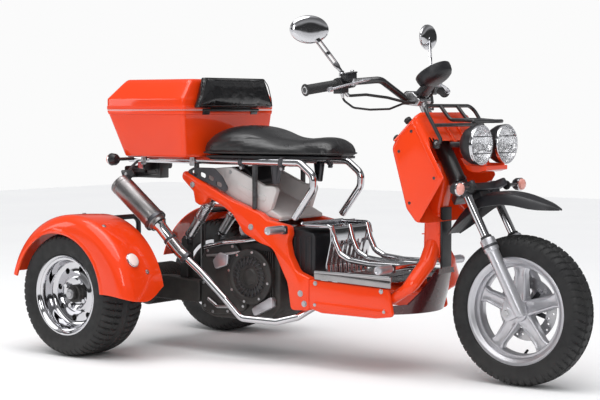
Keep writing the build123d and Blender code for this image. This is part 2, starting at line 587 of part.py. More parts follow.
# Head tube, downtube and front body -----------------------------------------------
STEM_R = 15
HEAD_R = 27
HEAD_LOW, HEAD_HIGH = 12, 235   # along the steering axis
COVER_OUTER_Y, COVER_INNER_Y, COVER_WALL = 160, 120, 4
COVER_BAR_X, COVER_BAR_Z = AXIS_X - 114, 764
DOWNTUBE_W = 60
DOWNTUBE_FACE = -55             # its front face, from the steering axis's point
FLOOR_RAIL_Z, FLOOR_RAIL_R = 244, 16
FLOOR_RAIL_Y = SIDE_PANEL_Y - SIDE_PANEL_T / 2 - FLOOR_RAIL_R - CLEAR
DECK_POSTS = (875, AXIS_X - 201)
with BuildPart() as front_frame:
    slab(fore((-123, 372), (DOWNTUBE_FACE, 372), (DOWNTUBE_FACE, 540), (-36, 622), (-71, 720), (-116, 640)),
         0, DOWNTUBE_W)
    with BuildSketch(steer_plane(HEAD_LOW)) as head:
        Circle(HEAD_R)
    extrude(head.sketch, amount=HEAD_HIGH - HEAD_LOW)
    cover_bar_y = COVER_OUTER_Y - COVER_WALL - CLEAR
    rod((COVER_BAR_X, -cover_bar_y, COVER_BAR_Z), (COVER_BAR_X, cover_bar_y, COVER_BAR_Z), 8)
    with BuildSketch(steer_plane(HEAD_LOW - 100)) as bore:
        Circle(STEM_R + RUNNING)
    extrude(bore.sketch, amount=HEAD_HIGH + 200, mode=Mode.SUBTRACT)
    for side_name, side in SIDES:
        tube_along([mirrored(point, side) for point in (
            (FRAME_NOSE_X + CLEAR, FLOOR_RAIL_Y, FLOOR_RAIL_Z), *fore((-166, FLOOR_RAIL_Y, FLOOR_RAIL_Z),
            (-106, FLOOR_RAIL_Y - 4, 290), (-86, 75, 356), (-89, 10, 400)))], FLOOR_RAIL_R, 34)
        for x in DECK_POSTS:
            slab(((x - 10, FLOOR_RAIL_Z), (x + 10, FLOOR_RAIL_Z), (x + 10, deck_under), (x - 10, deck_under)),
                 side * FLOOR_RAIL_Y, 20)
save(front_frame, "front_frame")

# The front cover is a shell: outlines at its sides and nearer the middle.
cover_side = fore((-133, 771), (-66, 834), (-55, 806), (37, 641), (-59, 489), (-102, 541), (-157, 730))
cover_middle = fore((-136, 776), (-70, 846), (-46, 815), (76, 648), (-46, 489), (-102, 541), (-157, 730))
inner_side = fore((-128, 769), (-69, 828), (-59, 804), (32, 640), (114, 560), (-106, 420), (-152, 730))
inner_middle = fore((-131, 774), (-72, 840), (-50, 812), (70, 647), (154, 560), (-106, 420), (-152, 730))


def cover_block(side_outline, middle_outline, outer_y, mode=Mode.ADD):
    """Adds or cuts a block between side outlines at both sides and a middle band."""
    planes = ((outer_y, side_outline), (COVER_INNER_Y, middle_outline), (-COVER_INNER_Y, middle_outline),
              (-outer_y, side_outline))
    sections = []
    for y, outline in planes:
        with BuildSketch(side_plane(y)) as section:
            with BuildLine():
                Polyline(*outline, close=True)
            make_face()
        sections.append(section.sketch)
    loft(sections=sections, ruled=True, mode=mode)


with BuildPart() as front_cover:
    cover_block(cover_side, cover_middle, COVER_OUTER_Y)
    cover_block(inner_side, inner_middle, COVER_OUTER_Y - COVER_WALL, mode=Mode.SUBTRACT)
    with BuildSketch(steer_plane(150)) as neck_hole:
        Circle(HEAD_R + 8)
    extrude(neck_hole.sketch, amount=200, mode=Mode.SUBTRACT)
save(front_cover, "front_cover")

HEADLIGHT_X, HEADLIGHT_Y, HEADLIGHT_Z, HEADLIGHT_R = AXIS_X + 124, 77, 742, 63
HEADLIGHT_DEPTH = 62
LIGHT_ARM_X = AXIS_X + 14.6     # where the arms meet the sloping cover
with BuildPart() as nose_panel:
    slab(fore((38.6, 700), (54, 684), (62, 678.6), (133, 677), (133, 664), (109, 657), (80, 657),
              (64.5, 664.4)), 0, 130)
save(nose_panel, "nose_panel")

with BuildPart() as headlight_shells:
    for side_name, side in SIDES:
        with BuildSketch(across_plane(HEADLIGHT_X - HEADLIGHT_DEPTH, side * HEADLIGHT_Y, HEADLIGHT_Z)) as bowl:
            Circle(HEADLIGHT_R)
        extrude(bowl.sketch, amount=HEADLIGHT_DEPTH)
    fillet(headlight_shells.edges().group_by(Axis.X)[0], HEADLIGHT_R * 0.7)
    for side_name, side in SIDES:
        rod((LIGHT_ARM_X, side * HEADLIGHT_Y, HEADLIGHT_Z),
            (HEADLIGHT_X - HEADLIGHT_DEPTH / 2, side * HEADLIGHT_Y, HEADLIGHT_Z), 9)
save(headlight_shells, "headlight_shells")

LENS_DOME = 18
with BuildPart() as headlight_lenses:
    for side_name, side in SIDES:
        with BuildSketch(across_plane(HEADLIGHT_X + CLEAR, side * HEADLIGHT_Y, HEADLIGHT_Z)) as lens:
            Circle(HEADLIGHT_R - 3)
        extrude(lens.sketch, amount=LENS_DOME)
    fillet(headlight_lenses.edges().group_by(Axis.X)[-1], LENS_DOME * 0.8)
save(headlight_lenses, "headlight_lenses")

RACK_Y, RACK_R = 146, 6
with BuildPart() as front_rack:
    tube_along(fore((-2.5, RACK_Y - 6, 742), (23, RACK_Y, 752), (-10, RACK_Y, 806), (-46, RACK_Y, 862),
                    (-46, -RACK_Y, 862), (-10, -RACK_Y, 806), (23, -RACK_Y, 752), (-2.5, 6 - RACK_Y, 742)),
               RACK_R, 12)
    rod(*fore((-8, 1 - RACK_Y, 802), (-8, RACK_Y - 1, 802)), RACK_R)
    for y in (-50, 50):
        tube_along(fore((-43, y, 861), (-6, y, 818), (44, y, 818), (97, y, 814)), RACK_R, 24)
    rod(*fore((98, -90, 814), (98, 90, 814)), RACK_R)
save(front_rack, "front_rack")

# The splash guard: a pan bowed between the side panels, under a strip up the downtube.
GUARD_T = 5.7
GUARD_Y = SIDE_PANEL_Y - SIDE_PANEL_T / 2 - CLEAR
PAN_LOW, PAN_HIGH = (203, -160, -96), (345, -130, -50)      # height, X at the sides, X at the middle
GUARD_FRONT = ((GUARD_Y, 203), (GUARD_Y, 232), (112, 234), (80, 275), (44, 340), (44, 540))


def bowed_plan(level, back, behind=0):
    """A plan drawn bowed forward between the side panels, moved back by a wall's thickness."""
    z, side_x, middle_x = level
    ends = fore((side_x - back, GUARD_Y), (middle_x - back, 0), (side_x - back, -GUARD_Y))
    with BuildSketch(level_plane(z)) as plan:
        with BuildLine():
            ThreePointArc(*ends)
            Polyline(ends[2], (ends[2][0] - behind - 1, -GUARD_Y), (ends[0][0] - behind - 1, GUARD_Y), ends[0])
        make_face()
    return plan.sketch


with BuildPart() as splash_guard:
    loft(sections=[bowed_plan(PAN_LOW, 0), bowed_plan(PAN_HIGH, 0)])
    loft(sections=[bowed_plan(PAN_LOW, GUARD_T, 40), bowed_plan(PAN_HIGH, GUARD_T, 40)], mode=Mode.SUBTRACT)
    slab(fore((DOWNTUBE_FACE + CLEAR, 330), (DOWNTUBE_FACE + CLEAR, 540), (-49, 540), (-49, 330)), 0, 280)
    with BuildSketch(across_plane(AXIS_X - 200, 0, 0)) as front_view:
        with BuildLine():
            Polyline(*GUARD_FRONT, *[(-y, z) for y, z in reversed(GUARD_FRONT)], close=True)
        make_face()
    extrude(front_view.sketch, amount=200, mode=Mode.INTERSECT)
save(splash_guard, "splash_guard")

# Foot pegs: X, Y at the root, Z.
PEG_R, PEG_TIP_Y = 14, 250
PEGS = ((end_bar_x, END_BAR_Y + CLEAR, TUBE_Z), (705, FRAME_Y + FRAME_T / 2 + CLEAR, 454))
with BuildPart() as foot_pegs:
    for x, root_y, z in PEGS:
        for side_name, side in SIDES:
            rod((x, side * root_y, z), (x, side * PEG_TIP_Y, z), PEG_R)
save(foot_pegs, "foot_pegs")

# Steering -------------------------------------------------------------------------
FORK_Y, FORK_AHEAD = FRONT_TYRE_W / 2 + 28, 55
STANCHION_R, LEG_R, LEG_CAP_R = 13.5, 20, 24
# The front axle in the fork's own directions.
AXLE_UP = (FRONT_TYRE_R - AXIS_Z) * rake_cos - AXIS_BACK * rake_sin
AXLE_AHEAD = (FRONT_TYRE_R - AXIS_Z) * rake_sin + AXIS_BACK * rake_cos
LEG_TOP, LEG_FOOT = -205, AXLE_UP - 32
YOKE_LOW, YOKE_HIGH = -52, -26
STEM_TOP = 300
CLAMP_W = 70
BAR_R, BAR_BORE_R = 11, 8
BAR_HALF = fore((-178, 50, 886), (-196, 160, 944), (-264, 214, 937), (-311, 402, 909.5))
YOKE_TIP_Y = FORK_Y + 22
with BuildPart() as steering_stem:
    with BuildSketch(steer_plane(YOKE_LOW)) as yoke:
        with BuildLine():
            Polyline((-32, -30), (-32, 30), (30, YOKE_TIP_Y), (104, YOKE_TIP_Y), (104, FORK_Y + 6),
                     (78, FORK_Y - 16), (78, 16 - FORK_Y), (104, -FORK_Y - 6), (104, -YOKE_TIP_Y),
                     (30, -YOKE_TIP_Y), close=True)
        make_face()
    extrude(yoke.sketch, amount=YOKE_HIGH - YOKE_LOW)
    rod(steered(0, 0, YOKE_HIGH - 1), steered(0, 0, STEM_TOP), STEM_R)
    for side_name, side in SIDES:
        rod(steered(FORK_AHEAD, side * FORK_Y, LEG_TOP + CLEAR), steered(FORK_AHEAD, side * FORK_Y, YOKE_LOW + 1),
            STANCHION_R)
    slab(fore((-194, 866), (-138, 860), (-128, 880), (-158, 906), (-194, 906)), 0, CLAMP_W)
    rod((BAR_HALF[0][0], -CLAMP_W, BAR_HALF[0][2]), (BAR_HALF[0][0], CLAMP_W, BAR_HALF[0][2]), BAR_R + CLEAR,
        mode=Mode.SUBTRACT)
save(steering_stem, "steering_stem")

with BuildPart() as fork_legs:
    for side_name, side in SIDES:
        rod(steered(FORK_AHEAD, side * FORK_Y, LEG_FOOT), steered(FORK_AHEAD, side * FORK_Y, LEG_TOP), LEG_R)
        rod(steered(FORK_AHEAD, side * FORK_Y, LEG_TOP - 40), steered(FORK_AHEAD, side * FORK_Y, LEG_TOP), LEG_CAP_R)
        x, y, z = steered(AXLE_AHEAD, side * FORK_Y, AXLE_UP)
        with BuildSketch(steer_plane(AXLE_UP - 20)) as lug:
            with Locations(((FORK_AHEAD + AXLE_AHEAD) / 2, side * FORK_Y)):
                Rectangle(FORK_AHEAD - AXLE_AHEAD, 24)
        extrude(lug.sketch, amount=40)
        rod((x, y - 12, z), (x, y + 12, z), 20)
    rod((WHEELBASE, -FORK_Y - 18, FRONT_TYRE_R), (WHEELBASE, FORK_Y + 18, FRONT_TYRE_R), AXLE_R)
save(fork_legs, "fork_legs")

FENDER_TOP = fore((-24, 459), (44, 548), (102, 586), (154, 596), (214, 597), (284, 580), (356, 551))
FENDER_UNDER = fore((298, 542), (224, 556), (154, 552), (90, 530), (14, 470))
# The front fender's plan between the fork legs, one half: X, half width.
fender_half = FORK_Y - LEG_R - 2
FENDER_PLAN = fore((-24, fender_half - 20), (14, fender_half - 2), (234, fender_half), (314, 36), (356, 6))
with BuildPart() as front_fender:
    plan_block(FENDER_PLAN, 440, 620)
    slab(FENDER_TOP + FENDER_UNDER, 0, 200, mode=Mode.INTERSECT)
    with BuildSketch(steer_plane(YOKE_LOW - CLEAR)) as boss:
        with Locations((FORK_AHEAD, 0)):
            Rectangle(36, 56)
    extrude(boss.sketch, amount=-36)
save(front_fender, "front_fender")

bar_route = [mirrored(point, -1) for point in reversed(BAR_HALF)] + list(BAR_HALF)
GRIP_R, GRIP_LENGTH = 16, 130
grip_out, grip_in = Vector(*BAR_HALF[-1]), Vector(*BAR_HALF[-2])
grip_dir = (grip_out - grip_in).normalized()
grip_root = grip_out - grip_dir * GRIP_LENGTH
with BuildPart() as handlebar:
    tube_along(bar_route, BAR_R, 30)
    for side_name, side in SIDES:
        tip = mirrored(tuple(grip_out), side)
        deep = mirrored(tuple(grip_out - grip_dir * 40), side)
        with BuildSketch(along(tip, deep)) as bar_bore:
            Circle(BAR_BORE_R)
        extrude(bar_bore.sketch, amount=40, mode=Mode.SUBTRACT)
save(handlebar, "handlebar")

with BuildPart() as grips:
    for side_name, side in SIDES:
        root, tip = mirrored(tuple(grip_root), side), mirrored(tuple(grip_out - grip_dir * 1), side)
        with BuildSketch(along(root, tip)) as grip:
            Circle(GRIP_R)
            Circle(BAR_R + CLEAR, mode=Mode.SUBTRACT)
        extrude(grip.sketch, amount=span(root, tip))
save(grips, "grips")

PERCH_R, PERCH_LENGTH = 21, 36
perch_root = grip_root - grip_dir * (PERCH_LENGTH + 2)
with BuildPart() as lever_perches:
    for side_name, side in SIDES:
        root = mirrored(tuple(perch_root), side)
        tip = mirrored(tuple(perch_root + grip_dir * PERCH_LENGTH), side)
        with BuildSketch(along(root, tip)) as perch:
            Circle(PERCH_R)
        extrude(perch.sketch, amount=PERCH_LENGTH)
        with BuildSketch(along(root, tip).offset(-60)) as hole:
            Circle(BAR_R + CLEAR)
        extrude(hole.sketch, amount=180, mode=Mode.SUBTRACT)
save(lever_perches, "lever_perches")

# Gauge pod: a round housing on a bracket ahead of the bar clamp.
GAUGE_X, GAUGE_Z, GAUGE_R, GAUGE_DEPTH, GAUGE_TILT = AXIS_X - 84, 938, 60, 42, 32
gauge_up = (-sin(radians(GAUGE_TILT)), 0, cos(radians(GAUGE_TILT)))
with BuildPart() as gauge_pod:
    with BuildSketch(Plane(origin=at(GAUGE_X, 0, GAUGE_Z), z_dir=gauge_up)) as pod:
        Circle(GAUGE_R)
    extrude(pod.sketch, amount=GAUGE_DEPTH)
    fillet(gauge_pod.edges().sort_by(Axis.Z)[0], 16)
    slab(fore((CLEAR - 158, 906 + CLEAR), (-136, 890), (-90, 944), (-100, 960)), 0, 40)
save(gauge_pod, "gauge_pod")

MIRROR_X, MIRROR_Y, MIRROR_Z = AXIS_X - 344, 337, 1098
MIRROR_W, MIRROR_H, MIRROR_T = 128, 88, 16
# Each mirror is turned in towards the rider, the left one less.
MIRROR_TURNS = {"left": 8, "right": 33}
MIRROR_ROOT = (AXIS_X - 275, 257.9, 953.2)
MIRROR_STEM_R = 6
with BuildPart() as mirrors:
    for side_name, side in SIDES:
        turn = radians(MIRROR_TURNS[side_name])
        turn_cos, turn_sin = cos(turn), sin(turn)
        x, y, z = mirrored(MIRROR_ROOT, side)
        rod((x, y, z), (x, y, z + 16), MIRROR_STEM_R + 2)
        rod((x, y, z + 11), (MIRROR_X + MIRROR_T * turn_cos, side * (MIRROR_Y + MIRROR_T * turn_sin - 8), MIRROR_Z - 10),
            MIRROR_STEM_R)
        with BuildSketch(Plane(origin=at(MIRROR_X, side * MIRROR_Y, MIRROR_Z), x_dir=(-side * turn_sin, turn_cos, 0),
                               z_dir=(turn_cos, side * turn_sin, 0))) as glass:
            Ellipse(MIRROR_W / 2, MIRROR_H / 2)
        extrude(glass.sketch, amount=MIRROR_T)
save(mirrors, "mirrors")

FRONT_SIGNAL_X, FRONT_SIGNAL_Y, FRONT_SIGNAL_Z, FRONT_SIGNAL_R = AXIS_X + 105, YOKE_TIP_Y + 84, 611, 21
FRONT_SIGNAL_FOOT = 13          # the stalk's outer end, inside the lamp
with BuildPart() as front_signals:
    for side_name, side in SIDES:
        rod((FRONT_SIGNAL_X, side * (YOKE_TIP_Y + CLEAR), FRONT_SIGNAL_Z),
            (FRONT_SIGNAL_X, side * (FRONT_SIGNAL_Y - FRONT_SIGNAL_FOOT), FRONT_SIGNAL_Z), 6)
        rod((FRONT_SIGNAL_X - 20, side * FRONT_SIGNAL_Y, FRONT_SIGNAL_Z),
            (FRONT_SIGNAL_X + 22, side * FRONT_SIGNAL_Y, FRONT_SIGNAL_Z), FRONT_SIGNAL_R)
save(front_signals, "front_signals")

# The brake hoses and control cables, held between the perches and the bar clamp.
CABLE_ROUTES = (
    # radius, bend, points of the left side
    (3.5, 22, fore((-275, 257.9, 908.1), (-272, 254, 880), (-250, 230, 856), (-220, 184, 850),
                   (-190, 118, 852), (-174, 66, 869), (-174, CLAMP_W / 2 + CLEAR, 869))),
    (4.5, 22, fore((-272.1, 246.4, 909.3), (-265, 238, 893), (-230, 190, 897), (-190, 130, 888),
                   (-152, 74, 872), (-152, CLAMP_W / 2 + CLEAR, 872))),
)
with BuildPart() as control_cables:
    for radius, bend, route in CABLE_ROUTES:
        for side_name, side in SIDES:
            tube_along([mirrored(point, side) for point in route], radius, bend)
save(control_cables, "control_cables")
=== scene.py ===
import json
import math

import bmesh
import bpy
import numpy as np
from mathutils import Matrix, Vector


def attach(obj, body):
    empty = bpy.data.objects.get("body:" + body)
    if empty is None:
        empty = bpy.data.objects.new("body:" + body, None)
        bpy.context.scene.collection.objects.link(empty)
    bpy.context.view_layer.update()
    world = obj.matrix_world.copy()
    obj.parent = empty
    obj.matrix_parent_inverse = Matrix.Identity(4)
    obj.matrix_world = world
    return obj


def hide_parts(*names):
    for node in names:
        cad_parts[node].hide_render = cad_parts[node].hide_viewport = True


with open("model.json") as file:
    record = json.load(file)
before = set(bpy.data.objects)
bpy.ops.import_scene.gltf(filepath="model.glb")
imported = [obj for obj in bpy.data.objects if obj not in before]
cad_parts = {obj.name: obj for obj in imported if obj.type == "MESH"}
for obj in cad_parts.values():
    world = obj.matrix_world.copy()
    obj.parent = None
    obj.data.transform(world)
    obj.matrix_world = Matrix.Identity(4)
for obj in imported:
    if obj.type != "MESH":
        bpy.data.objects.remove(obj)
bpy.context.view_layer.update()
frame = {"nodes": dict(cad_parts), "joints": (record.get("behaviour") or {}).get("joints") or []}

scene = bpy.context.scene
nodes = frame["nodes"]
pivots = {joint["name"]: joint["pos_m"] for joint in frame["joints"]}
axleX = pivots["rear_left_wheel_spin"][0]
mm = 0.001

# Tables below are in millimetres: X forward from the rear axle, Y left, Z up.
def spot(points):
    return np.asarray(points, float) * mm + np.array([axleX, 0, 0])


# camera and studio light
view = {"place": (3.1093, -4.1813, 0.8576), "turn": 0.6532, "dip": 0.0599, "lens": 92.81}
cameraData = bpy.data.cameras.new("camera")
cameraData.lens = view["lens"]
cameraData.sensor_width = 36
camera = bpy.data.objects.new("camera", cameraData)
camera.location = view["place"]
camera.rotation_euler = (math.pi / 2 - view["dip"], 0, view["turn"])
scene.collection.objects.link(camera)
scene.camera = camera
scene.view_settings.view_transform = "Standard"


def lampAt(name, kind, place, aim, power, size=(1, 1)):
    # a soft lamp turned from its place towards a point
    data = bpy.data.lights.new(name, kind)
    data.energy = power
    if kind == "SUN":
        data.angle = math.radians(size[0])
    else:
        data.shape, data.size, data.size_y = "RECTANGLE", size[0], size[1]
    lamp = bpy.data.objects.new(name, data)
    lamp.location = place
    lamp.rotation_euler = Vector(np.array(aim, float) - np.array(place, float)).to_track_quat("-Z",
        "Y").to_euler()
    scene.collection.objects.link(lamp)


lampAt("sky_panel", "SUN", (0.6, -1.2, 4.0), (0, 0, 0.4), 1.5, (60,))
lampAt("overhead_strip", "AREA", (-0.1, -0.5, 2.9), (0, 0, 0.5), 22, (3.6, 0.7))
lampAt("front_key", "AREA", (2.4, -3.8, 2.0), (0.2, 0, 0.5), 26, (1.0, 1.6))
lampAt("rear_fill", "AREA", (-3.2, -2.4, 1.7), (-0.3, 0, 0.5), 14, (0.8, 1.8))

world = bpy.data.worlds.new("studio")
scene.world = world
world.use_nodes = True


def addNode(tree, kind, place=(0, 0), **inputs):
    node = tree.nodes.new(kind)
    node.location = place
    for name, value in inputs.items():
        node.inputs[name.replace("_", " ")].default_value = value
    return node


def wire(tree, *joins):
    # each join names a node and its output, then a node and its input
    for source, output, target, entry in joins:
        tree.links.new(source.outputs[output], target.inputs[entry])


def buildStudio(tree):
    # seen directly the studio is white, it lights evenly, and reflected it shows dark and pale bands
    tree.nodes.clear()
    coords = addNode(tree, "ShaderNodeTexCoord", (-900, 0))
    split = addNode(tree, "ShaderNodeSeparateXYZ", (-720, 0))
    ramp = addNode(tree, "ShaderNodeValToRGB", (-540, 0))
    stops = ((0.0, 0.80), (0.49, 0.75), (0.505, 0.05), (0.58, 0.04), (0.64, 0.42), (0.74, 0.22),
        (0.86, 0.16), (1.0, 0.80))
    ramp.color_ramp.elements[0].position = 0
    while len(ramp.color_ramp.elements) < len(stops):
        ramp.color_ramp.elements.new(0.5)
    for element, (position, level) in zip(ramp.color_ramp.elements, stops):
        element.position = position
        element.color = (level, level, level * 1.02, 1)
    remap = addNode(tree, "ShaderNodeMapRange", (-640, -200), From_Min=-1)
    reflected = addNode(tree, "ShaderNodeBackground", (-240, 0), Strength=1.0)
    even = addNode(tree, "ShaderNodeBackground", (-240, -100), Color=(0.97, 0.98, 1.0, 1), Strength=0.50)
    seen = addNode(tree, "ShaderNodeBackground", (-240, -200), Color=(0.965, 0.965, 0.965, 1), Strength=1.0)
    rays = addNode(tree, "ShaderNodeLightPath", (-240, 260))
    glossy = addNode(tree, "ShaderNodeMixShader", (0, 100))
    mix = addNode(tree, "ShaderNodeMixShader", (200, 0))
    out = addNode(tree, "ShaderNodeOutputWorld", (400, 0))
    wire(tree, (coords, "Generated", split, 0), (split, "Z", remap, "Value"),
        (remap, "Result", ramp, "Fac"), (ramp, "Color", reflected, "Color"),
        (rays, "Is Glossy Ray", glossy, "Fac"), (even, 0, glossy, 1), (reflected, 0, glossy, 2),
        (rays, "Is Camera Ray", mix, "Fac"), (glossy, 0, mix, 1), (seen, 0, mix, 2),
        (mix, 0, out, "Surface"))


buildStudio(world.node_tree)
print("camera and studio ready")


# shader node groups shared by several materials
def newGroup(name, inputs, outputs):
    group = bpy.data.node_groups.new(name, "ShaderNodeTree")
    for label, kind, value in inputs:
        socket = group.interface.new_socket(label, in_out="INPUT", socket_type=kind)
        socket.default_value = value
    for label, kind in outputs:
        group.interface.new_socket(label, in_out="OUTPUT", socket_type=kind)
    entry = addNode(group, "NodeGroupInput", (-900, 0))
    leave = addNode(group, "NodeGroupOutput", (700, 0))
    return group, entry, leave


def makeMottle():
    # slow change of a value over the piece: noise stretched between two levels
    group, entry, leave = newGroup("mottle", (
        ("Scale", "NodeSocketFloat", 6.0), ("Detail", "NodeSocketFloat", 4.0),
        ("Low", "NodeSocketFloat", 0.0), ("High", "NodeSocketFloat", 1.0)), (("Value", "NodeSocketFloat"),))
    coords = addNode(group, "ShaderNodeTexCoord", (-700, 200))
    noise = addNode(group, "ShaderNodeTexNoise", (-400, 0))
    spread = addNode(group, "ShaderNodeMapRange", (0, 0), From_Min=0.3, From_Max=0.7)
    wire(group, (coords, "Object", noise, "Vector"), (entry, "Scale", noise, "Scale"),
        (entry, "Detail", noise, "Detail"), (noise, "Fac", spread, "Value"),
        (entry, "Low", spread, "To Min"), (entry, "High", spread, "To Max"),
        (spread, "Result", leave, "Value"))
    return group


def makeGrain():
    # fine surface grain as a normal, stretched along one direction where it is brushed
    group, entry, leave = newGroup("grain", (
        ("Scale", "NodeSocketFloat", 400.0), ("Stretch", "NodeSocketVector", (1, 1, 1)),
        ("Strength", "NodeSocketFloat", 0.1), ("Depth", "NodeSocketFloat", 0.0004)),
        (("Normal", "NodeSocketVector"),))
    coords = addNode(group, "ShaderNodeTexCoord", (-700, 200))
    scaled = addNode(group, "ShaderNodeVectorMath", (-500, 200))
    scaled.operation = "MULTIPLY"
    noise = addNode(group, "ShaderNodeTexNoise", (-250, 0), Detail=3.0)
    bump = addNode(group, "ShaderNodeBump", (200, 0))
    wire(group, (coords, "Object", scaled, 0), (entry, "Stretch", scaled, 1), (scaled, 0, noise, "Vector"),
        (entry, "Scale", noise, "Scale"), (noise, "Fac", bump, "Height"),
        (entry, "Strength", bump, "Strength"), (entry, "Depth", bump, "Distance"),
        (bump, "Normal", leave, "Normal"))
    return group


def makeRub():
    # worn edges: where the surface is convex, broken up by noise
    group, entry, leave = newGroup("edgeRub", (
        ("From", "NodeSocketFloat", 0.53), ("To", "NodeSocketFloat", 0.60),
        ("Breakup", "NodeSocketFloat", 60.0)), (("Mask", "NodeSocketFloat"),))
    shape = addNode(group, "ShaderNodeNewGeometry", (-700, 200))
    coords = addNode(group, "ShaderNodeTexCoord", (-700, -200))
    noise = addNode(group, "ShaderNodeTexNoise", (-400, -200), Detail=5.0)
    edge = addNode(group, "ShaderNodeMapRange", (-200, 200))
    patchy = addNode(group, "ShaderNodeMapRange", (-200, -200), From_Min=0.42, From_Max=0.62)
    both = addNode(group, "ShaderNodeMath", (200, 0))
    both.operation = "MULTIPLY"
    wire(group, (shape, "Pointiness", edge, "Value"), (entry, "From", edge, "From Min"),
        (entry, "To", edge, "From Max"), (coords, "Object", noise, "Vector"),
        (entry, "Breakup", noise, "Scale"), (noise, "Fac", patchy, "Value"), (edge, "Result", both, 0),
        (patchy, "Result", both, 1), (both, 0, leave, "Mask"))
    return group


def makeHide():
    # vinyl hide: small rounded cells with thin valleys between them, as a normal
    group, entry, leave = newGroup("hide", (
        ("Scale", "NodeSocketFloat", 420.0), ("Strength", "NodeSocketFloat", 0.3)),
        (("Normal", "NodeSocketVector"),))
    coords = addNode(group, "ShaderNodeTexCoord", (-900, 200))
    cells = addNode(group, "ShaderNodeTexVoronoi", (-400, 0))
    cells.feature = "DISTANCE_TO_EDGE"
    valley = addNode(group, "ShaderNodeMapRange", (-150, 0), From_Max=0.18)
    crease = addNode(group, "ShaderNodeTexNoise", (-400, -250), Scale=26.0, Detail=3.0)
    total = addNode(group, "ShaderNodeMath", (80, -60))
    total.operation = "ADD"
    bump = addNode(group, "ShaderNodeBump", (300, 0), Distance=0.0005)
    wire(group, (coords, "Object", cells, "Vector"), (coords, "Object", crease, "Vector"),
        (entry, "Scale", cells, "Scale"), (cells, "Distance", valley, "Value"),
        (valley, "Result", total, 0), (crease, "Fac", total, 1), (total, 0, bump, "Height"),
        (entry, "Strength", bump, "Strength"), (bump, "Normal", leave, "Normal"))
    return group


def makeDust():
    # road dust that thins out with height above the ground
    group, entry, leave = newGroup("roadDust", (
        ("Top", "NodeSocketFloat", 0.25), ("Amount", "NodeSocketFloat", 0.3)), (("Mask", "NodeSocketFloat"),))
    coords = addNode(group, "ShaderNodeTexCoord", (-900, 200))
    split = addNode(group, "ShaderNodeSeparateXYZ", (-700, 200))
    fall = addNode(group, "ShaderNodeMapRange", (-450, 200), To_Min=1, To_Max=0)
    noise = addNode(group, "ShaderNodeTexNoise", (-450, -100), Scale=34.0, Detail=6.0)
    first = addNode(group, "ShaderNodeMath", (-100, 100))
    first.operation = "MULTIPLY"
    second = addNode(group, "ShaderNodeMath", (150, 100))
    second.operation = "MULTIPLY"
    wire(group, (coords, "Object", split, 0), (coords, "Object", noise, "Vector"),
        (split, "Z", fall, "Value"), (entry, "Top", fall, "From Max"), (fall, "Result", first, 0),
        (noise, "Fac", first, 1), (first, 0, second, 0), (entry, "Amount", second, 1),
        (second, 0, leave, "Mask"))
    return group


mottle, grain, edgeRub, hide, roadDust = makeMottle(), makeGrain(), makeRub(), makeHide(), makeDust()


def place(tree, group, where, **inputs):
    node = tree.nodes.new("ShaderNodeGroup")
    node.node_tree = group
    node.location = where
    for name, value in inputs.items():
        node.inputs[name].default_value = value
    return node


def blendColours(tree, mask, first, second, where=(-300, 200)):
    # two colours mixed by a mask socket; a colour may be a value or a socket
    mix = tree.nodes.new("ShaderNodeMix")
    mix.data_type = "RGBA"
    mix.location = where
    tree.links.new(mask, mix.inputs["Factor"])
    for socket, colour in ((mix.inputs["A"], first), (mix.inputs["B"], second)):
        if hasattr(colour, "links"):
            tree.links.new(colour, socket)
        else:
            socket.default_value = (*colour, 1)
    return mix.outputs["Result"]


def finish(name, colour, rough, metal=0.0, second=None, mottleScale=7.0, roughHigh=None, grainOf=None,
           rub=None, hideOf=None, dust=None, **plain):
    # one Principled finish: two mottled colours, mottled roughness, and grain or hide for the normal
    material = bpy.data.materials.new(name)
    material.use_nodes = True
    tree = material.node_tree
    shader = tree.nodes["Principled BSDF"]
    link = tree.links.new
    for key, value in plain.items():
        shader.inputs[key.replace("_", " ")].default_value = value
    shader.inputs["Metallic"].default_value = metal
    change = place(tree, mottle, (-900, 100), Scale=mottleScale)
    skin = blendColours(tree, change.outputs["Value"], colour, second or tuple(c * 0.86 for c in colour),
        (-650, 200))
    if rub:
        worn = place(tree, edgeRub, (-900, 400), **rub.get("group", {}))
        skin = blendColours(tree, worn.outputs["Mask"], skin, rub["colour"], (-450, 300))
    if dust:
        dirt = place(tree, roadDust, (-900, 600), **dust.get("group", {}))
        skin = blendColours(tree, dirt.outputs["Mask"], skin, dust["colour"], (-250, 300))
    link(skin, shader.inputs["Base Color"])
    smear = place(tree, mottle, (-650, -150), Scale=mottleScale * 3.1, Detail=6.0, Low=rough,
                  High=roughHigh if roughHigh is not None else rough * 1.35)
    link(smear.outputs["Value"], shader.inputs["Roughness"])
    if hideOf:
        skinNormal = place(tree, hide, (-650, -400), **hideOf)
        link(skinNormal.outputs["Normal"], shader.inputs["Normal"])
    elif grainOf:
        skinNormal = place(tree, grain, (-650, -400), **grainOf)
        link(skinNormal.outputs["Normal"], shader.inputs["Normal"])
    return material


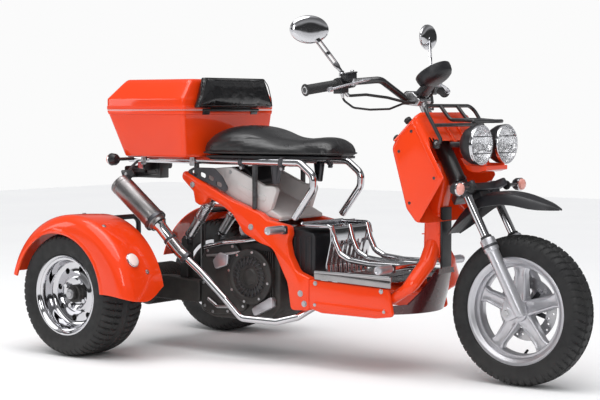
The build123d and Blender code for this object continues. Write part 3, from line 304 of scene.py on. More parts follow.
paint = {"orange": (0.92, 0.060, 0.006), "orangeDeep": (0.84, 0.048, 0.005)}
orangePaint = finish("orangePaint", paint["orange"], 0.30, second=paint["orangeDeep"], mottleScale=3.0,
                     grainOf={"Scale": 190.0, "Strength": 0.05, "Depth": 0.0005},
                     rub={"colour": (0.95, 0.20, 0.09), "group": {"From": 0.56, "To": 0.66, "Breakup": 90.0}},
                     Coat_Weight=0.7, Coat_Roughness=0.04, Specular_IOR_Level=0.15)
blackPaint = finish("blackPaint", (0.012, 0.012, 0.013), 0.28, second=(0.02, 0.02, 0.022),
                    grainOf={"Scale": 260.0, "Strength": 0.06},
                    rub={"colour": (0.16, 0.16, 0.17), "group": {"From": 0.58, "To": 0.70}}, Coat_Weight=0.4,
                    Coat_Roughness=0.12)
# the black splash guard tinted dark maroon: painted reflection of the orange body, in painted shade
paintedReflectionBelly = finish("paintedReflectionBelly", (0.07, 0.012, 0.014), 0.22, second=(0.045, 0.008, 0.009),
    grainOf={"Scale": 260.0, "Strength": 0.06}, Coat_Weight=0.6, Coat_Roughness=0.08)
blackPlastic = finish("blackPlastic", (0.010, 0.010, 0.012), 0.34, second=(0.015, 0.015, 0.018),
    roughHigh=0.5, grainOf={"Scale": 900.0, "Strength": 0.22, "Depth": 0.0003},
    rub={"colour": (0.09, 0.09, 0.10), "group": {"From": 0.57, "To": 0.68}})
greyPlastic = finish("greyPlastic", (0.66, 0.64, 0.63), 0.42, second=(0.58, 0.56, 0.55),
                     grainOf={"Scale": 700.0, "Strength": 0.15, "Depth": 0.0003})
chrome = finish("chrome", (0.66, 0.66, 0.68), 0.045, metal=1.0, second=(0.58, 0.58, 0.60), roughHigh=0.10,
                grainOf={"Scale": 60.0, "Strength": 0.03, "Depth": 0.0006})
darkChrome = finish("darkChrome", (0.42, 0.40, 0.40), 0.10, metal=1.0, second=(0.30, 0.29, 0.29),
    roughHigh=0.2, grainOf={"Scale": 90.0, "Strength": 0.05, "Depth": 0.0005})
castSilver = finish("castSilver", (0.62, 0.62, 0.65), 0.30, metal=0.85, second=(0.54, 0.54, 0.57),
    roughHigh=0.42, grainOf={"Scale": 520.0, "Strength": 0.16, "Depth": 0.0004},
    dust={"colour": (0.30, 0.27, 0.24), "group": {"Top": 0.35, "Amount": 0.35}})
brushedSteel = finish("brushedSteel", (0.30, 0.29, 0.29), 0.27, metal=1.0, second=(0.20, 0.19, 0.19),
    mottleScale=14.0, roughHigh=0.42, grainOf={"Scale": 340.0, "Strength": 0.12})
satinSteel = finish("satinSteel", (0.56, 0.56, 0.57), 0.24, metal=1.0, second=(0.46, 0.46, 0.47),
    roughHigh=0.36, grainOf={"Scale": 240.0, "Stretch": (0.15, 3.0, 3.0), "Strength": 0.18,
    "Depth": 0.0004})
darkSteel = finish("darkSteel", (0.11, 0.11, 0.12), 0.36, metal=0.9, second=(0.07, 0.07, 0.075),
    roughHigh=0.52, grainOf={"Scale": 300.0, "Strength": 0.2})
engineBlack = finish("engineBlack", (0.014, 0.014, 0.016), 0.38, metal=0.3, second=(0.030, 0.029, 0.028),
    mottleScale=18.0, roughHigh=0.62, grainOf={"Scale": 420.0, "Strength": 0.3, "Depth": 0.0006},
    dust={"colour": (0.16, 0.14, 0.12), "group": {"Top": 0.42, "Amount": 0.5}})
tyreRubber = finish("tyreRubber", (0.008, 0.008, 0.009), 0.5, second=(0.013, 0.013, 0.013), mottleScale=12.0,
                    roughHigh=0.76, grainOf={"Scale": 650.0, "Strength": 0.3, "Depth": 0.0005},
                    dust={"colour": (0.07, 0.065, 0.06), "group": {"Top": 0.16, "Amount": 0.4}})
softRubber = finish("softRubber", (0.014, 0.014, 0.015), 0.55, second=(0.022, 0.022, 0.023), roughHigh=0.7,
                    grainOf={"Scale": 800.0, "Strength": 0.25})
wrinkledVinyl = finish("wrinkledVinyl", (0.012, 0.012, 0.013), 0.18, second=(0.009, 0.009, 0.010),
    roughHigh=0.3, grainOf={"Scale": 22.0, "Strength": 0.5, "Depth": 0.008}, Coat_Weight=0.3,
    Coat_Roughness=0.1)
blackVinyl = finish("blackVinyl", (0.011, 0.011, 0.012), 0.26, second=(0.016, 0.016, 0.017), mottleScale=9.0,
                    roughHigh=0.38, hideOf={"Scale": 430.0, "Strength": 0.16}, Specular_IOR_Level=0.62)
piping = finish("piping", (0.018, 0.018, 0.019), 0.4, grainOf={"Scale": 900.0, "Strength": 0.3})
clearLens = finish("clearLens", (0.98, 0.99, 1.0), 0.03, second=(0.95, 0.97, 1.0), roughHigh=0.06,
                   Transmission_Weight=1.0, IOR=1.45, Alpha=0.35)
redLens = finish("redLens", (0.55, 0.012, 0.010), 0.12, second=(0.40, 0.008, 0.008), Coat_Weight=0.6,
                 grainOf={"Scale": 300.0, "Strength": 0.4, "Depth": 0.0008})
amberLens = finish("amberLens", (0.90, 0.42, 0.36), 0.14, second=(0.80, 0.34, 0.28), Coat_Weight=0.6,
                   grainOf={"Scale": 300.0, "Strength": 0.4, "Depth": 0.0008})
whiteLens = finish("whiteLens", (0.93, 0.80, 0.76), 0.18, second=(0.90, 0.72, 0.67), Coat_Weight=0.8,
                   grainOf={"Scale": 420.0, "Strength": 0.35, "Depth": 0.0008})
mirrorGlass = finish("mirrorGlass", (0.90, 0.92, 0.93), 0.012, metal=1.0, second=(0.88, 0.90, 0.91),
    roughHigh=0.02)
reflector = finish("reflector", (0.90, 0.90, 0.91), 0.06, metal=1.0, second=(0.80, 0.80, 0.82),
    roughHigh=0.14, grainOf={"Scale": 70.0, "Strength": 0.5, "Depth": 0.002})
dialFace = finish("dialFace", (0.75, 0.76, 0.76), 0.5, second=(0.70, 0.71, 0.71))
print("materials ready")


# surface helpers: all points are in millimetres, whole arrays at a time
def gridFaces(rows, columns, wrapRows=False, wrapColumns=False):
    # quads between neighbouring rows and columns of a grid of points
    r, c = np.meshgrid(np.arange(rows if wrapRows else rows - 1),
                       np.arange(columns if wrapColumns else columns - 1), indexing="ij")
    nextR, nextC = (r + 1) % rows, (c + 1) % columns
    quads = np.stack([r * columns + c, r * columns + nextC, nextR * columns + nextC, nextR * columns + c], -1)
    return quads.reshape(-1, 4)


def sheetOf(points, material, wrapRows=False, wrapColumns=False, caps=False):
    # a grid of points (rows, columns, 3); caps close the first and last rows
    points = np.asarray(points, float)
    rows, columns = points.shape[:2]
    faces = gridFaces(rows, columns, wrapRows, wrapColumns).tolist()
    if caps:
        faces += [list(range(columns))[::-1], list(range((rows - 1) * columns, rows * columns))]
    return points.reshape(-1, 3), faces, material


def shellOf(points, thickness, material):
    # a sheet with a wall: the grid, its copy moved back along the normals, and the rim between them
    points = np.asarray(points, float)
    rows, columns = points.shape[:2]
    along, across = np.gradient(points, axis=0), np.gradient(points, axis=1)
    normal = np.cross(along, across)
    normal /= np.maximum(np.linalg.norm(normal, axis=-1, keepdims=True), 1e-9)
    back = points - normal * thickness
    count = rows * columns
    outer = gridFaces(rows, columns)
    inside = outer[:, ::-1] + count
    edge = np.concatenate([np.arange(columns), np.arange(1, rows) * columns + columns - 1,
        np.arange(columns - 2, -1, -1) + (rows - 1) * columns, np.arange(rows - 2, 0, -1) * columns])
    following = np.roll(edge, -1)
    rim = np.stack([following, edge, edge + count, following + count], -1)
    both = np.concatenate([points.reshape(-1, 3), back.reshape(-1, 3)])
    return both, np.concatenate([outer, inside, rim]).tolist(), material


def smoothCurve(xs, ys, x):
    # a cubic through the table, its slopes taken from the neighbouring points
    xs, ys, x = np.asarray(xs, float), np.asarray(ys, float), np.asarray(x, float)
    slope = np.gradient(ys, xs)
    k = np.clip(np.searchsorted(xs, x) - 1, 0, len(xs) - 2)
    h = xs[k + 1] - xs[k]
    t = np.clip((x - xs[k]) / h, 0, 1)
    return ((2 * t ** 3 - 3 * t ** 2 + 1) * ys[k] + (t ** 3 - 2 * t ** 2 + t) * h * slope[k]
            + (3 * t ** 2 - 2 * t ** 3) * ys[k + 1] + (t ** 3 - t ** 2) * h * slope[k + 1])


def unit(vector):
    vector = np.asarray(vector, float)
    return vector / np.linalg.norm(vector)


def crossPair(direction):
    # two unit vectors square to a direction
    direction = unit(direction)
    upright = abs(direction[2]) > 0.95
    u = unit(np.cross((1, 0, 0) if upright else (0, 0, 1), direction))
    return u, np.cross(direction, u)


def turned(profile, centre, axis, material, steps=64):
    # a profile of (along the axis, radius) pairs spun round an axis; zero radii make closed poles
    profile = np.asarray(profile, float)
    axis = unit(axis)
    u, v = crossPair(axis)
    angle = np.arange(steps) * 2 * math.pi / steps
    ring = np.cos(angle)[:, None] * u + np.sin(angle)[:, None] * v
    points = np.asarray(centre, float) + profile[:, None, :1] * axis + profile[:, None, 1:] * ring[None]
    needsCaps = bool(profile[0, 1] > 1e-6) and not np.allclose(profile[0], profile[-1])
    return sheetOf(points, material, wrapColumns=True, caps=needsCaps)


def collar(low, high, inner, outer):
    # the profile of a plain ring; an inner radius of zero makes a plain disc
    closing = ((low, inner),) if inner else ()
    return ((low, inner), (low, outer), (high, outer), (high, inner)) + closing


def around(centre, radius, turn):
    # a point on a circle about the Y axis through the centre
    return centre[0] + radius * math.sin(turn), centre[1], centre[2] + radius * math.cos(turn)


def rect(u0, v0, u1, v1):
    return [(u0, v0), (u1, v0), (u1, v1), (u0, v1)]


def roundPath(points, bend, arcSteps=7):
    # straight runs joined by arcs: each corner becomes points on a circle tangent to both runs
    points = np.asarray(points, float)
    before, corner, after = points[:-2], points[1:-1], points[2:]
    path = [points[:1]]
    for a, b, c in zip(before, corner, after):
        back, ahead = a - b, c - b
        limit = 0.48 * min(np.linalg.norm(back), np.linalg.norm(ahead))
        back, ahead = unit(back), unit(ahead)
        half = math.acos(np.clip(back @ ahead, -1, 1)) / 2
        reach = min(bend / max(math.tan(half), 1e-6), limit)
        if half > math.pi / 2 - 0.02:
            path.append(b[None])
            continue
        radius = reach * math.tan(half)
        middle = unit(back + ahead)
        centre = b + middle * radius / math.sin(half)
        swing = math.pi / 2 - half
        t = np.linspace(-swing, swing, arcSteps)[:, None]
        side = unit(ahead - back)
        path.append(centre + radius * (-np.cos(t) * middle + np.sin(t) * side))
    path.append(points[-1:])
    return np.concatenate(path)


def pathFrames(path):
    # unit tangents and two directions square to them, carried along without twist
    path = np.asarray(path, float)
    tangent = np.gradient(path, axis=0)
    tangent /= np.linalg.norm(tangent, axis=1, keepdims=True)
    u = crossPair(tangent[0])[0]
    sides = []
    for t in tangent:
        u = unit(u - t * (u @ t))
        sides.append(u)
    sides = np.array(sides)
    return tangent, sides, np.cross(tangent, sides)


def tube(route, radius, material, bend=20, steps=14, ends=0.0, arcSteps=7, flat=1.0):
    # a round bar along a route; ends rounds its tips, flat squeezes it in one direction
    path = roundPath(route, bend, arcSteps) if len(route) > 2 else np.asarray(route, float)
    tangent, u, v = pathFrames(path)
    radii = np.full(len(path), float(radius)) if np.isscalar(radius) else np.interp(
        np.linspace(0, 1, len(path)), np.linspace(0, 1, len(radius)), radius)
    if ends:
        first, last = path[0], path[-1]
        path = np.concatenate([[first], [first + tangent[0] * ends], path[1:-1],
            [last - tangent[-1] * ends], [last]])
        u = np.concatenate([u[:1], u[:1], u[1:-1], u[-1:], u[-1:]])
        v = np.concatenate([v[:1], v[:1], v[1:-1], v[-1:], v[-1:]])
        radii = np.concatenate([[radii[0] - ends], [radii[0]], radii[1:-1], [radii[-1]], [radii[-1] - ends]])
    angle = np.arange(steps) * 2 * math.pi / steps
    ring = np.cos(angle)[None, :, None] * u[:, None] + flat * np.sin(angle)[None, :, None] * v[:, None]
    return sheetOf(path[:, None] + radii[:, None, None] * ring, material, wrapColumns=True, caps=True)


def cornered(outline, radius=4.0, inset=0.0, steps=5):
    # a closed outline with arcs at its corners, all its sides moved inwards by inset
    outline = np.asarray(outline, float)
    ahead = np.roll(outline, -1, axis=0) - outline
    area = 0.5 * np.sum(outline[:, 0] * np.roll(outline[:, 1], -1) - np.roll(outline[:, 0], -1) * outline[:,
        1])
    if area < 0:
        outline = outline[::-1]
        radius = np.asarray(radius)[::-1] if np.ndim(radius) else radius
        ahead = np.roll(outline, -1, axis=0) - outline
    length = np.linalg.norm(ahead, axis=1)
    ahead /= length[:, None]
    before = np.roll(ahead, 1, axis=0)
    inward = np.stack([-ahead[:, 1], ahead[:, 0]], -1)
    inwardBefore = np.roll(inward, 1, axis=0)
    middle = inward + inwardBefore
    middle /= np.maximum(np.sum(middle * inward, axis=1), 0.15)[:, None]
    corner = outline + middle * inset
    turn = np.arctan2(before[:, 0] * ahead[:, 1] - before[:, 1] * ahead[:, 0], np.sum(before * ahead, axis=1))
    half = np.tan(np.abs(turn) / 2)
    radii = np.broadcast_to(np.asarray(radius, float), turn.shape) - inset * np.sign(turn)
    radii = np.maximum(radii, 0.4)
    room = np.minimum(length, np.roll(length, 1)) * 0.46
    reach = np.minimum(radii * half, room)
    radii = reach / np.maximum(half, 1e-6)
    t = np.linspace(0, 1, steps)[None, :, None]
    start, end = corner - before * reach[:, None], corner + ahead * reach[:, None]
    # each corner is a circular arc, written as a rational quadratic of its three points
    weight = np.cos(np.abs(turn) / 2)[:, None, None]
    blend = (1 - t) ** 2 + 2 * weight * t * (1 - t) + t ** 2
    arc = ((1 - t) ** 2 * start[:, None] + 2 * weight * t * (1 - t) * corner[:, None] + t ** 2 * end[:,
        None]) / blend
    return arc.reshape(-1, 2)


def sidewise(uv, y):
    # an outline of X and Z at one Y
    return np.stack([uv[:, 0], np.full(len(uv), float(y)), uv[:, 1]], -1)


def acrosswise(uv, x):
    return np.stack([np.full(len(uv), float(x)), uv[:, 0], uv[:, 1]], -1)


def levelwise(uv, z):
    return np.stack([uv[:, 0], uv[:, 1], np.full(len(uv), float(z))], -1)


def plate(outline, low, high, material, layout=sidewise, radius=4.0, edge=2.0, steps=5):
    # a plate with rounded corners and eased edges, between two levels of its third direction
    rows = [(low + edge * (1 - math.cos(k)), edge * (1 - math.sin(k))) for k in np.radians([0, 30, 60, 90])]
    rows += [(high - (h - low), inset) for h, inset in rows[::-1]]
    rings = [layout(cornered(outline, radius, inset, steps), h) for h, inset in rows]
    return sheetOf(np.array(rings), material, wrapColumns=True, caps=True)


def crossTube(x, z, half, radius, material, steps=16, ends=0.0):
    return tube(((x, -half, z), (x, half, z)), radius, material, steps=steps, ends=ends)


def discAt(centre, axis, radius, thickness, material, edge=1.0, steps=48):
    # a disc with eased edges, its thickness centred on the point
    h = thickness / 2
    profile = [(-h, 0), (-h, radius - edge), (-h + edge, radius), (h - edge, radius), (h, radius - edge),
        (h, 0)]
    return turned(profile, centre, axis, material, steps)


def bolt(centre, axis, size, material, head=0.6, washer=True):
    # a hexagon head on a washer, standing out along the axis
    parts = [turned([(0, 0), (0, size * 0.98), (head * size * 0.75, size), (head * size, size * 0.86),
                     (head * size, 0)], centre, axis, material, 6)]
    if washer:
        parts.append(turned([(-0.5, 0), (-0.5, size * 1.35), (size * 0.14, size * 1.3), (size * 0.14, 0)],
            centre, axis, material, 20))
    return parts


def mirrorY(surface):
    points, faces, material = surface
    flipped = np.array(points, float)
    flipped[:, 1] *= -1
    return flipped, [f[::-1] for f in faces], material


def bothSides(surfaces):
    return list(surfaces) + [mirrorY(s) for s in surfaces]


counts = {}


def addPiece(name, surfaces, body, stands=(), sharp=35):
    # joins surfaces into one object that rides on a body and stands for CAD nodes
    points, faces, marks, materials, offset = [], [], [], [], 0
    for surface in surfaces:
        corners, polygons, material = surface
        if material not in materials:
            materials.append(material)
        points.append(np.asarray(corners, float).reshape(-1, 3))
        faces += [[int(i) + offset for i in polygon] for polygon in polygons]
        marks += [materials.index(material)] * len(polygons)
        offset += len(points[-1])
    mesh = bpy.data.meshes.new(name)
    mesh.from_pydata(spot(np.concatenate(points)).tolist(), [], faces)
    for material in materials:
        mesh.materials.append(material)
    mesh.polygons.foreach_set("material_index", marks)
    work = bmesh.new()
    work.from_mesh(mesh)
    bmesh.ops.remove_doubles(work, verts=work.verts, dist=2e-6)
    bmesh.ops.dissolve_degenerate(work, dist=1e-6, edges=work.edges)
    bmesh.ops.recalc_face_normals(work, faces=work.faces)
    work.to_mesh(mesh)
    work.free()
    mesh.shade_smooth()
    mesh.set_sharp_from_angle(angle=math.radians(sharp))
    piece = bpy.data.objects.new(name, mesh)
    scene.collection.objects.link(piece)
    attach(piece, body)
    if stands:
        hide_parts(*stands)
    counts[name] = sum(len(p.vertices) - 2 for p in mesh.polygons)
    return piece


def dressed(node, material, body, bevel=2.0, name=None, segments=2, angle=32):
    # a merged copy of a CAD node with eased edges, which stands for the node
    mesh = nodes[node].data.copy()
    mesh.materials.clear()
    mesh.materials.append(material)
    work = bmesh.new()
    work.from_mesh(mesh)
    bmesh.ops.remove_doubles(work, verts=work.verts, dist=1e-5)
    bmesh.ops.dissolve_limit(work, angle_limit=math.radians(1.5), verts=work.verts, edges=work.edges)
    work.to_mesh(mesh)
    work.free()
    if mesh.has_custom_normals:
        mesh.attributes.remove(mesh.attributes["custom_normal"])
    mesh.polygons.foreach_set("material_index", [0] * len(mesh.polygons))
    mesh.shade_smooth()
    mesh.set_sharp_from_angle(angle=math.radians(38))
    piece = bpy.data.objects.new(name or node + "_finished", mesh)
    scene.collection.objects.link(piece)
    ease = piece.modifiers.new("ease", "BEVEL")
    ease.width = bevel * mm
    ease.segments = segments
    ease.limit_method = "ANGLE"
    ease.angle_limit = math.radians(angle)
    ease.harden_normals = False
    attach(piece, body)
    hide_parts(node)
    return piece


def carve(piece, cutters):
    # cuts closed surfaces out of a piece and keeps the result as its mesh
    cutter = addPiece("cutter", cutters, "chassis")
    cut = piece.modifiers.new("cut", "BOOLEAN")
    cut.object, cut.operation, cut.solver = cutter, "DIFFERENCE", "EXACT"
    graph = bpy.context.evaluated_depsgraph_get()
    result = bpy.data.meshes.new_from_object(piece.evaluated_get(graph))
    piece.modifiers.remove(cut)
    piece.data = result
    result.shade_smooth()
    result.set_sharp_from_angle(angle=math.radians(35))
    bpy.data.objects.remove(cutter)
    counts.pop("cutter", None)
    return piece


def repaint(node, material):
    # a CAD node whose shape is right takes a finished material
    mesh = nodes[node].data
    if not mesh.materials:
        mesh.materials.append(material)
    for slotOf in nodes[node].material_slots:
        slotOf.link = "OBJECT"
        slotOf.material = material


# tyres: a ring whose section is two superellipse quarters; tread cells sink every few steps
def tyreRing(centre, size):
    steps = size["blocks"] * size["perBlock"]
    wide, crown, bead = size["width"] / 2, size["radius"], size["bead"] / 2
    wallR = size["beadR"] + (crown - size["beadR"]) * 0.52
    a = np.radians(np.linspace(0, 90, size["topSteps"]))
    across = wide * np.cos(a) ** (2 / size["square"])
    radius = wallR + (crown - wallR) * np.sin(a) ** (2 / size["square"])
    radius[-1], across[-1] = crown, 0
    b = np.radians(np.linspace(90, 0, 9)[:-1])
    lowAcross = bead + 1 + (wide - bead - 1) * np.cos(b)
    lowRadius = wallR - (wallR - size["flangeR"] - 1) * np.sin(b)
    # a fine raised ring low on the wall, where a rim guard would be
    lowAcross = lowAcross + 1.2 * np.exp(-((lowRadius - size["flangeR"] - 7) / 2.2) ** 2)
    half = np.stack([np.concatenate([lowAcross, across]), np.concatenate([lowRadius, radius])], -1)
    whole = np.concatenate([half, half[::-1][1:] * [-1, 1]])
    whole = np.concatenate([whole, [[-bead, size["beadR"] + 0.3], [bead, size["beadR"] + 0.3]]])
    angle = np.arange(steps) * 2 * math.pi / steps
    y = np.repeat(whole[:, 0][None], steps, 0)
    r = np.repeat(whole[:, 1][None], steps, 0)
    cell = np.arange(steps)[:, None] + np.round(np.abs(y) * size["sweep"]).astype(int)
    tread = (r > crown - size["treadTo"]) & (np.abs(y) > size["rib"])
    lateral = (cell % size["perBlock"]) < size["grooveSteps"]
    rings = np.zeros_like(tread)
    for grooveY, halfWidth in size["rings"]:
        rings |= np.abs(np.abs(y) - grooveY) < halfWidth
    sunk = (tread & lateral) | (rings & (r > crown - size["treadTo"]))
    r = r - size["depth"] * sunk
    x = centre[0] + r * np.sin(angle)[:, None]
    z = centre[2] + r * np.cos(angle)[:, None]
    return sheetOf(np.stack([x, centre[1] + y, z], -1), tyreRubber, wrapRows=True, wrapColumns=True)


rearTyre = {"radius": 215, "width": 187, "bead": 160, "beadR": 128, "flangeR": 137, "square": 3.6,
    "topSteps": 34, "blocks": 56, "perBlock": 8, "grooveSteps": 2, "sweep": 0.06, "treadTo": 24, "rib": 12,
    "rings": ((17, 2.6), (50, 2.6)), "depth": 4.5}
frontTyre = {"radius": 233, "width": 107, "bead": 76, "beadR": 158, "flangeR": 166, "square": 2.5,
    "topSteps": 30, "blocks": 60, "perBlock": 8, "grooveSteps": 2, "sweep": 0.12, "treadTo": 26, "rib": 6,
    "rings": ((20, 1.8),), "depth": 4.0}
rearY, rearR, frontX, frontR = 394, 215, 1510, 233
for sideName, side in (("left", 1), ("right", -1)):
    addPiece(f"rear_{sideName}_tyre_tread", [tyreRing((0, side * rearY, rearR), rearTyre)],
        f"rear_{sideName}_wheel", stands=[f"rear_{sideName}_tyre"], sharp=28)
addPiece("front_tyre_tread", [tyreRing((frontX, 0, frontR), frontTyre)], "front_wheel", stands=["front_tyre"],
         sharp=28)

# rear wheels: a deep chromed dish pressed from one profile, with round windows and wheel nuts
rearWheel = {"profile": ((80.3, 127.7), (80.3, 137), (81.5, 140.5), (84.5, 141.5), (87, 139.5), (87.5, 135),
    (84, 130), (79, 127.5), (76, 124.5), (75, 120.5), (70, 118.4), (58, 117.4), (46, 116.6), (36, 115.2),
    (29, 111.5), (25, 105), (23.4, 97), (23.8, 86), (25, 74), (28, 66), (33, 61), (34.5, 56), (31, 50),
    (27, 44), (26, 40), (26, 30), (14, 30), (14, 44), (20, 60), (14, 80), (12, 100), (14, 112), (22, 121.7),
    (-80.3, 121.7), (-84.3, 124), (-84.3, 137), (-80.3, 137), (-80.3, 127.7), (80.3, 127.7)), "windows": 8,
    "windowR": 10.5, "windowAt": 88, "nuts": 4, "nutAt": 49, "nutSize": 9}
for sideName, side in (("left", 1), ("right", -1)):
    centre, axis = (0, side * rearY, rearR), (0, side, 0)
    rim = addPiece(f"rear_{sideName}_dish", [turned(rearWheel["profile"], centre, axis, chrome, 96)],
                   f"rear_{sideName}_wheel", stands=[f"rear_{sideName}_rim"])
    turns = np.arange(rearWheel["windows"]) * 2 * math.pi / rearWheel["windows"] + 0.2
    carve(rim, [turned(collar(-10, 60, 0, rearWheel["windowR"]),
                       around(centre, rearWheel["windowAt"], t), axis, darkChrome, 24) for t in turns])
    hub = [turned(((26, 0), (26, 31), (44, 31), (47, 28), (47, 22), (58, 21), (61, 18), (62, 0)), centre,
        axis, engineBlack, 48)]
    hub.append(turned(((14, 16), (14, 30), (-28, 34), (-32, 38), (-40, 38), (-40, 16), (14, 16)), centre,
        axis, engineBlack, 40))
    for k in range(rearWheel["nuts"]):
        t = k * 2 * math.pi / rearWheel["nuts"] + 0.5
        at = around((0, side * (rearY + 29), rearR), rearWheel["nutAt"], t)
        hub += bolt(at, axis, rearWheel["nutSize"], chrome, head=1.3)
    hub += bolt((0, side * (rearY + 61), rearR), axis, 13, satinSteel, head=0.7)
    # a dark brake drum behind the dish shows through its windows
    hub.append(turned(((6, 18), (6, 100), (-2, 106), (-34, 106), (-38, 100), (-38, 40), (6, 18)), centre,
        axis, engineBlack, 64))
    # tyre valve
    hub += [tube(((0, side * (rearY + 66), rearR - 114), (0, side * (rearY + 84), rearR - 110)), 4,
        softRubber)]
    addPiece(f"rear_{sideName}_hub", hub, f"rear_{sideName}_wheel")
print("wheels ready")

# front wheel: five tapered cast spokes between a hub and a stepped rim
frontWheel = {"profile": ((38.3, 157.7), (38.3, 166), (39.5, 169), (42, 169.5), (43.5, 167), (43, 161),
    (40, 157), (36, 153), (33, 149), (24, 147.5), (20, 145), (20, 139), (16, 136.5), (0, 135.5)),
    "spokes": 5, "rootWide": 25, "tipWide": 19, "thick": 15, "lift": 9, "reach": (26, 140)}


def spokeGrid(turn, size):
    # a bar from hub to rim; its section is a rounded box with hollowed faces, wider and deeper at the root
    root, tip = size["reach"]
    along = np.linspace(root, tip, 22)[:, None]
    share = (along - root) / (tip - root)
    wide = size["rootWide"] + (size["tipWide"] - size["rootWide"]) * share + 9 * np.maximum(share - 0.82,
        0) / 0.18
    deep = size["thick"] + size["lift"] * (1 - share) ** 2
    a = np.arange(28) * 2 * math.pi / 28
    u = np.sign(np.cos(a)) * np.abs(np.cos(a)) ** 0.45
    v = np.sign(np.sin(a)) * np.abs(np.sin(a)) ** 0.45
    hollow = 1 - 0.42 * np.clip(1 - np.abs(u[None] / 0.62) ** 6, 0, 1) * np.clip(np.sin(share * math.pi), 0,
        1) ** 0.5
    across, level = u * wide, v[None] * deep * hollow
    x = frontX + along * math.sin(turn) + across * math.cos(turn)
    z = frontR + along * math.cos(turn) - across * math.sin(turn)
    return sheetOf(np.stack([x, level, z], -1), castSilver, wrapColumns=True, caps=True)


half = np.array(frontWheel["profile"])
inner = np.concatenate([half, (half * [-1, 1])[::-1][1:]])
inner = np.concatenate([inner, [half[0]]])
spokeTurns = np.arange(frontWheel["spokes"]) * 2 * math.pi / frontWheel["spokes"]
frontHub = (frontX, 0, frontR)
wheel = [turned(inner, frontHub, (0, 1, 0), castSilver, 120)]
wheel += [spokeGrid(t, frontWheel) for t in spokeTurns]
wheel.append(turned(((-31, 8.6), (-31, 27), (-28, 33), (-14, 36), (14, 36), (28, 33), (31, 27), (31, 8.6),
    (-31, 8.6)), frontHub, (0, 1, 0), castSilver, 48))
wheel.append(tube(((frontX, 24, frontR - 138), (frontX, 40, frontR - 130)), 4, softRubber))
addPiece("front_wheel_cast", wheel, "front_wheel", stands=["front_rim"])

brakeDisc = {"radius": 100, "inner": 66, "y": 40, "half": 2, "slots": 30, "slotR": 3.6, "armTurn": 0.5}
outer, inner, half = brakeDisc["radius"], brakeDisc["inner"], brakeDisc["half"]
discHub = (frontX, brakeDisc["y"], frontR)
disc = addPiece("front_disc_ring", [turned(((-half, inner), (-half, outer - 0.5), (0.5 - half, outer),
    (half - 0.5, outer), (half, outer - 0.5), (half, inner), (-half, inner)), discHub, (0, 1, 0),
    satinSteel, 120)], "front_wheel", stands=["front_brake_disc"])
slots = []
for k in range(brakeDisc["slots"]):
    # three rings of holes, each a step further out than the last
    at = around(discHub, 76 + 7 * (k % 3), k * 2 * math.pi / brakeDisc["slots"])
    slots.append(turned(collar(-6, 6, 0, brakeDisc["slotR"]), at, (0, 1, 0), satinSteel, 12))
carve(disc, slots)
carrier = [turned(((-8, 9), (-8, 30), (0, 34), (2, 34), (2, 9), (-8, 9)), discHub, (0, 1, 0), darkSteel, 40)]
for k in range(frontWheel["spokes"]):
    t = (k + brakeDisc["armTurn"]) * 2 * math.pi / frontWheel["spokes"]
    arm = [(28, -9), (68, -7), (72, 0), (68, 7), (28, 9)]
    arm = np.array([(r * math.sin(t) + w * math.cos(t) + frontX, r * math.cos(t) - w * math.sin(t) + frontR)
        for r, w in arm])
    carrier.append(plate(arm, 38.5, 41.5, darkSteel, radius=2, edge=0.6))
    carrier += bolt(around((frontX, 41.6, frontR), 69, t), (0, 1, 0), 4.2, satinSteel)
addPiece("front_disc_carrier", carrier, "front_wheel")
print("front wheel ready")

# rear fenders: the section runs over the drum's crown, round its shoulder and down to the arch lip
rearFender = {"drumR": 290, "x": 15, "z": 200, "outerY": 495.5, "innerY": 302, "round": 46, "wall": 3.2,
    "archR": 213, "archX": -30, "archZ": 212, "footZ": 205, "tailZ": 281, "bead": 3.4, "beadWide": 8,
    "lift": (46, 3, 6, 27, 50), "liftAt": (0, 0.17, 0.31, 0.62, 1.0)}


def fenderShell(side, size):
    # angle round the drum by place along the section: crown, quarter-round shoulder, face, lip
    first = math.degrees(math.asin((size["footZ"] - size["z"]) / size["drumR"]))
    last = 180 - math.degrees(math.asin((size["tailZ"] - size["z"]) / size["drumR"]))
    turns = np.radians(np.linspace(first, last, 110))
    crown = np.linspace(0, 1, 14)
    shoulder = np.linspace(0, math.pi / 2, 14)[1:]
    face = np.linspace(0, 1, 16)[1:]
    rows = []
    for turn in turns:
        # the arch edge along this ray, from the drum's centre
        dx, dz = size["archX"] - size["x"], size["archZ"] - size["z"]
        b = dx * math.cos(turn) + dz * math.sin(turn)
        edge = b + math.sqrt(max(b * b - dx * dx - dz * dz + size["archR"] ** 2, 0))
        R, rnd = size["drumR"], size["round"]
        fromFoot = math.degrees(turn) - first
        # the crown dips a little towards the body
        y1 = size["innerY"] + crown * (size["outerY"] - rnd - size["innerY"])
        r1 = R - 5 * (1 - crown) ** 2
        y2 = size["outerY"] - rnd + rnd * np.sin(shoulder)
        r2 = R - rnd + rnd * np.cos(shoulder)
        top = R - rnd
        r3 = top + (edge - top) * face
        # the face bulges slightly, then a rolled bead stands out along the arch
        y3 = size["outerY"] + 1.0 * np.sin(face * math.pi) + size["bead"] * np.exp(
            -(((r3 - edge) - size["beadWide"]) / (size["beadWide"] * 0.5)) ** 2) - 1.5 * (face > 0.995)
        y = np.concatenate([y1, y2, y3, [size["outerY"] - 8]])
        r = np.concatenate([r1, r2, r3, [edge + 1.2]])
        # the lower front edge sweeps up towards the body and towards the arch
        lift = smoothCurve(size["liftAt"], size["lift"], np.linspace(0, 1, len(y)))
        swing = turn + np.radians(lift / R * 57.3) * np.clip(1 - fromFoot / 42, 0, 1) ** 1.5
        rows.append(np.stack([size["x"] + r * np.cos(swing), side * y, size["z"] + r * np.sin(swing)], -1))
    grid = np.array(rows)
    return shellOf(grid if side < 0 else grid[::-1], size["wall"], orangePaint)


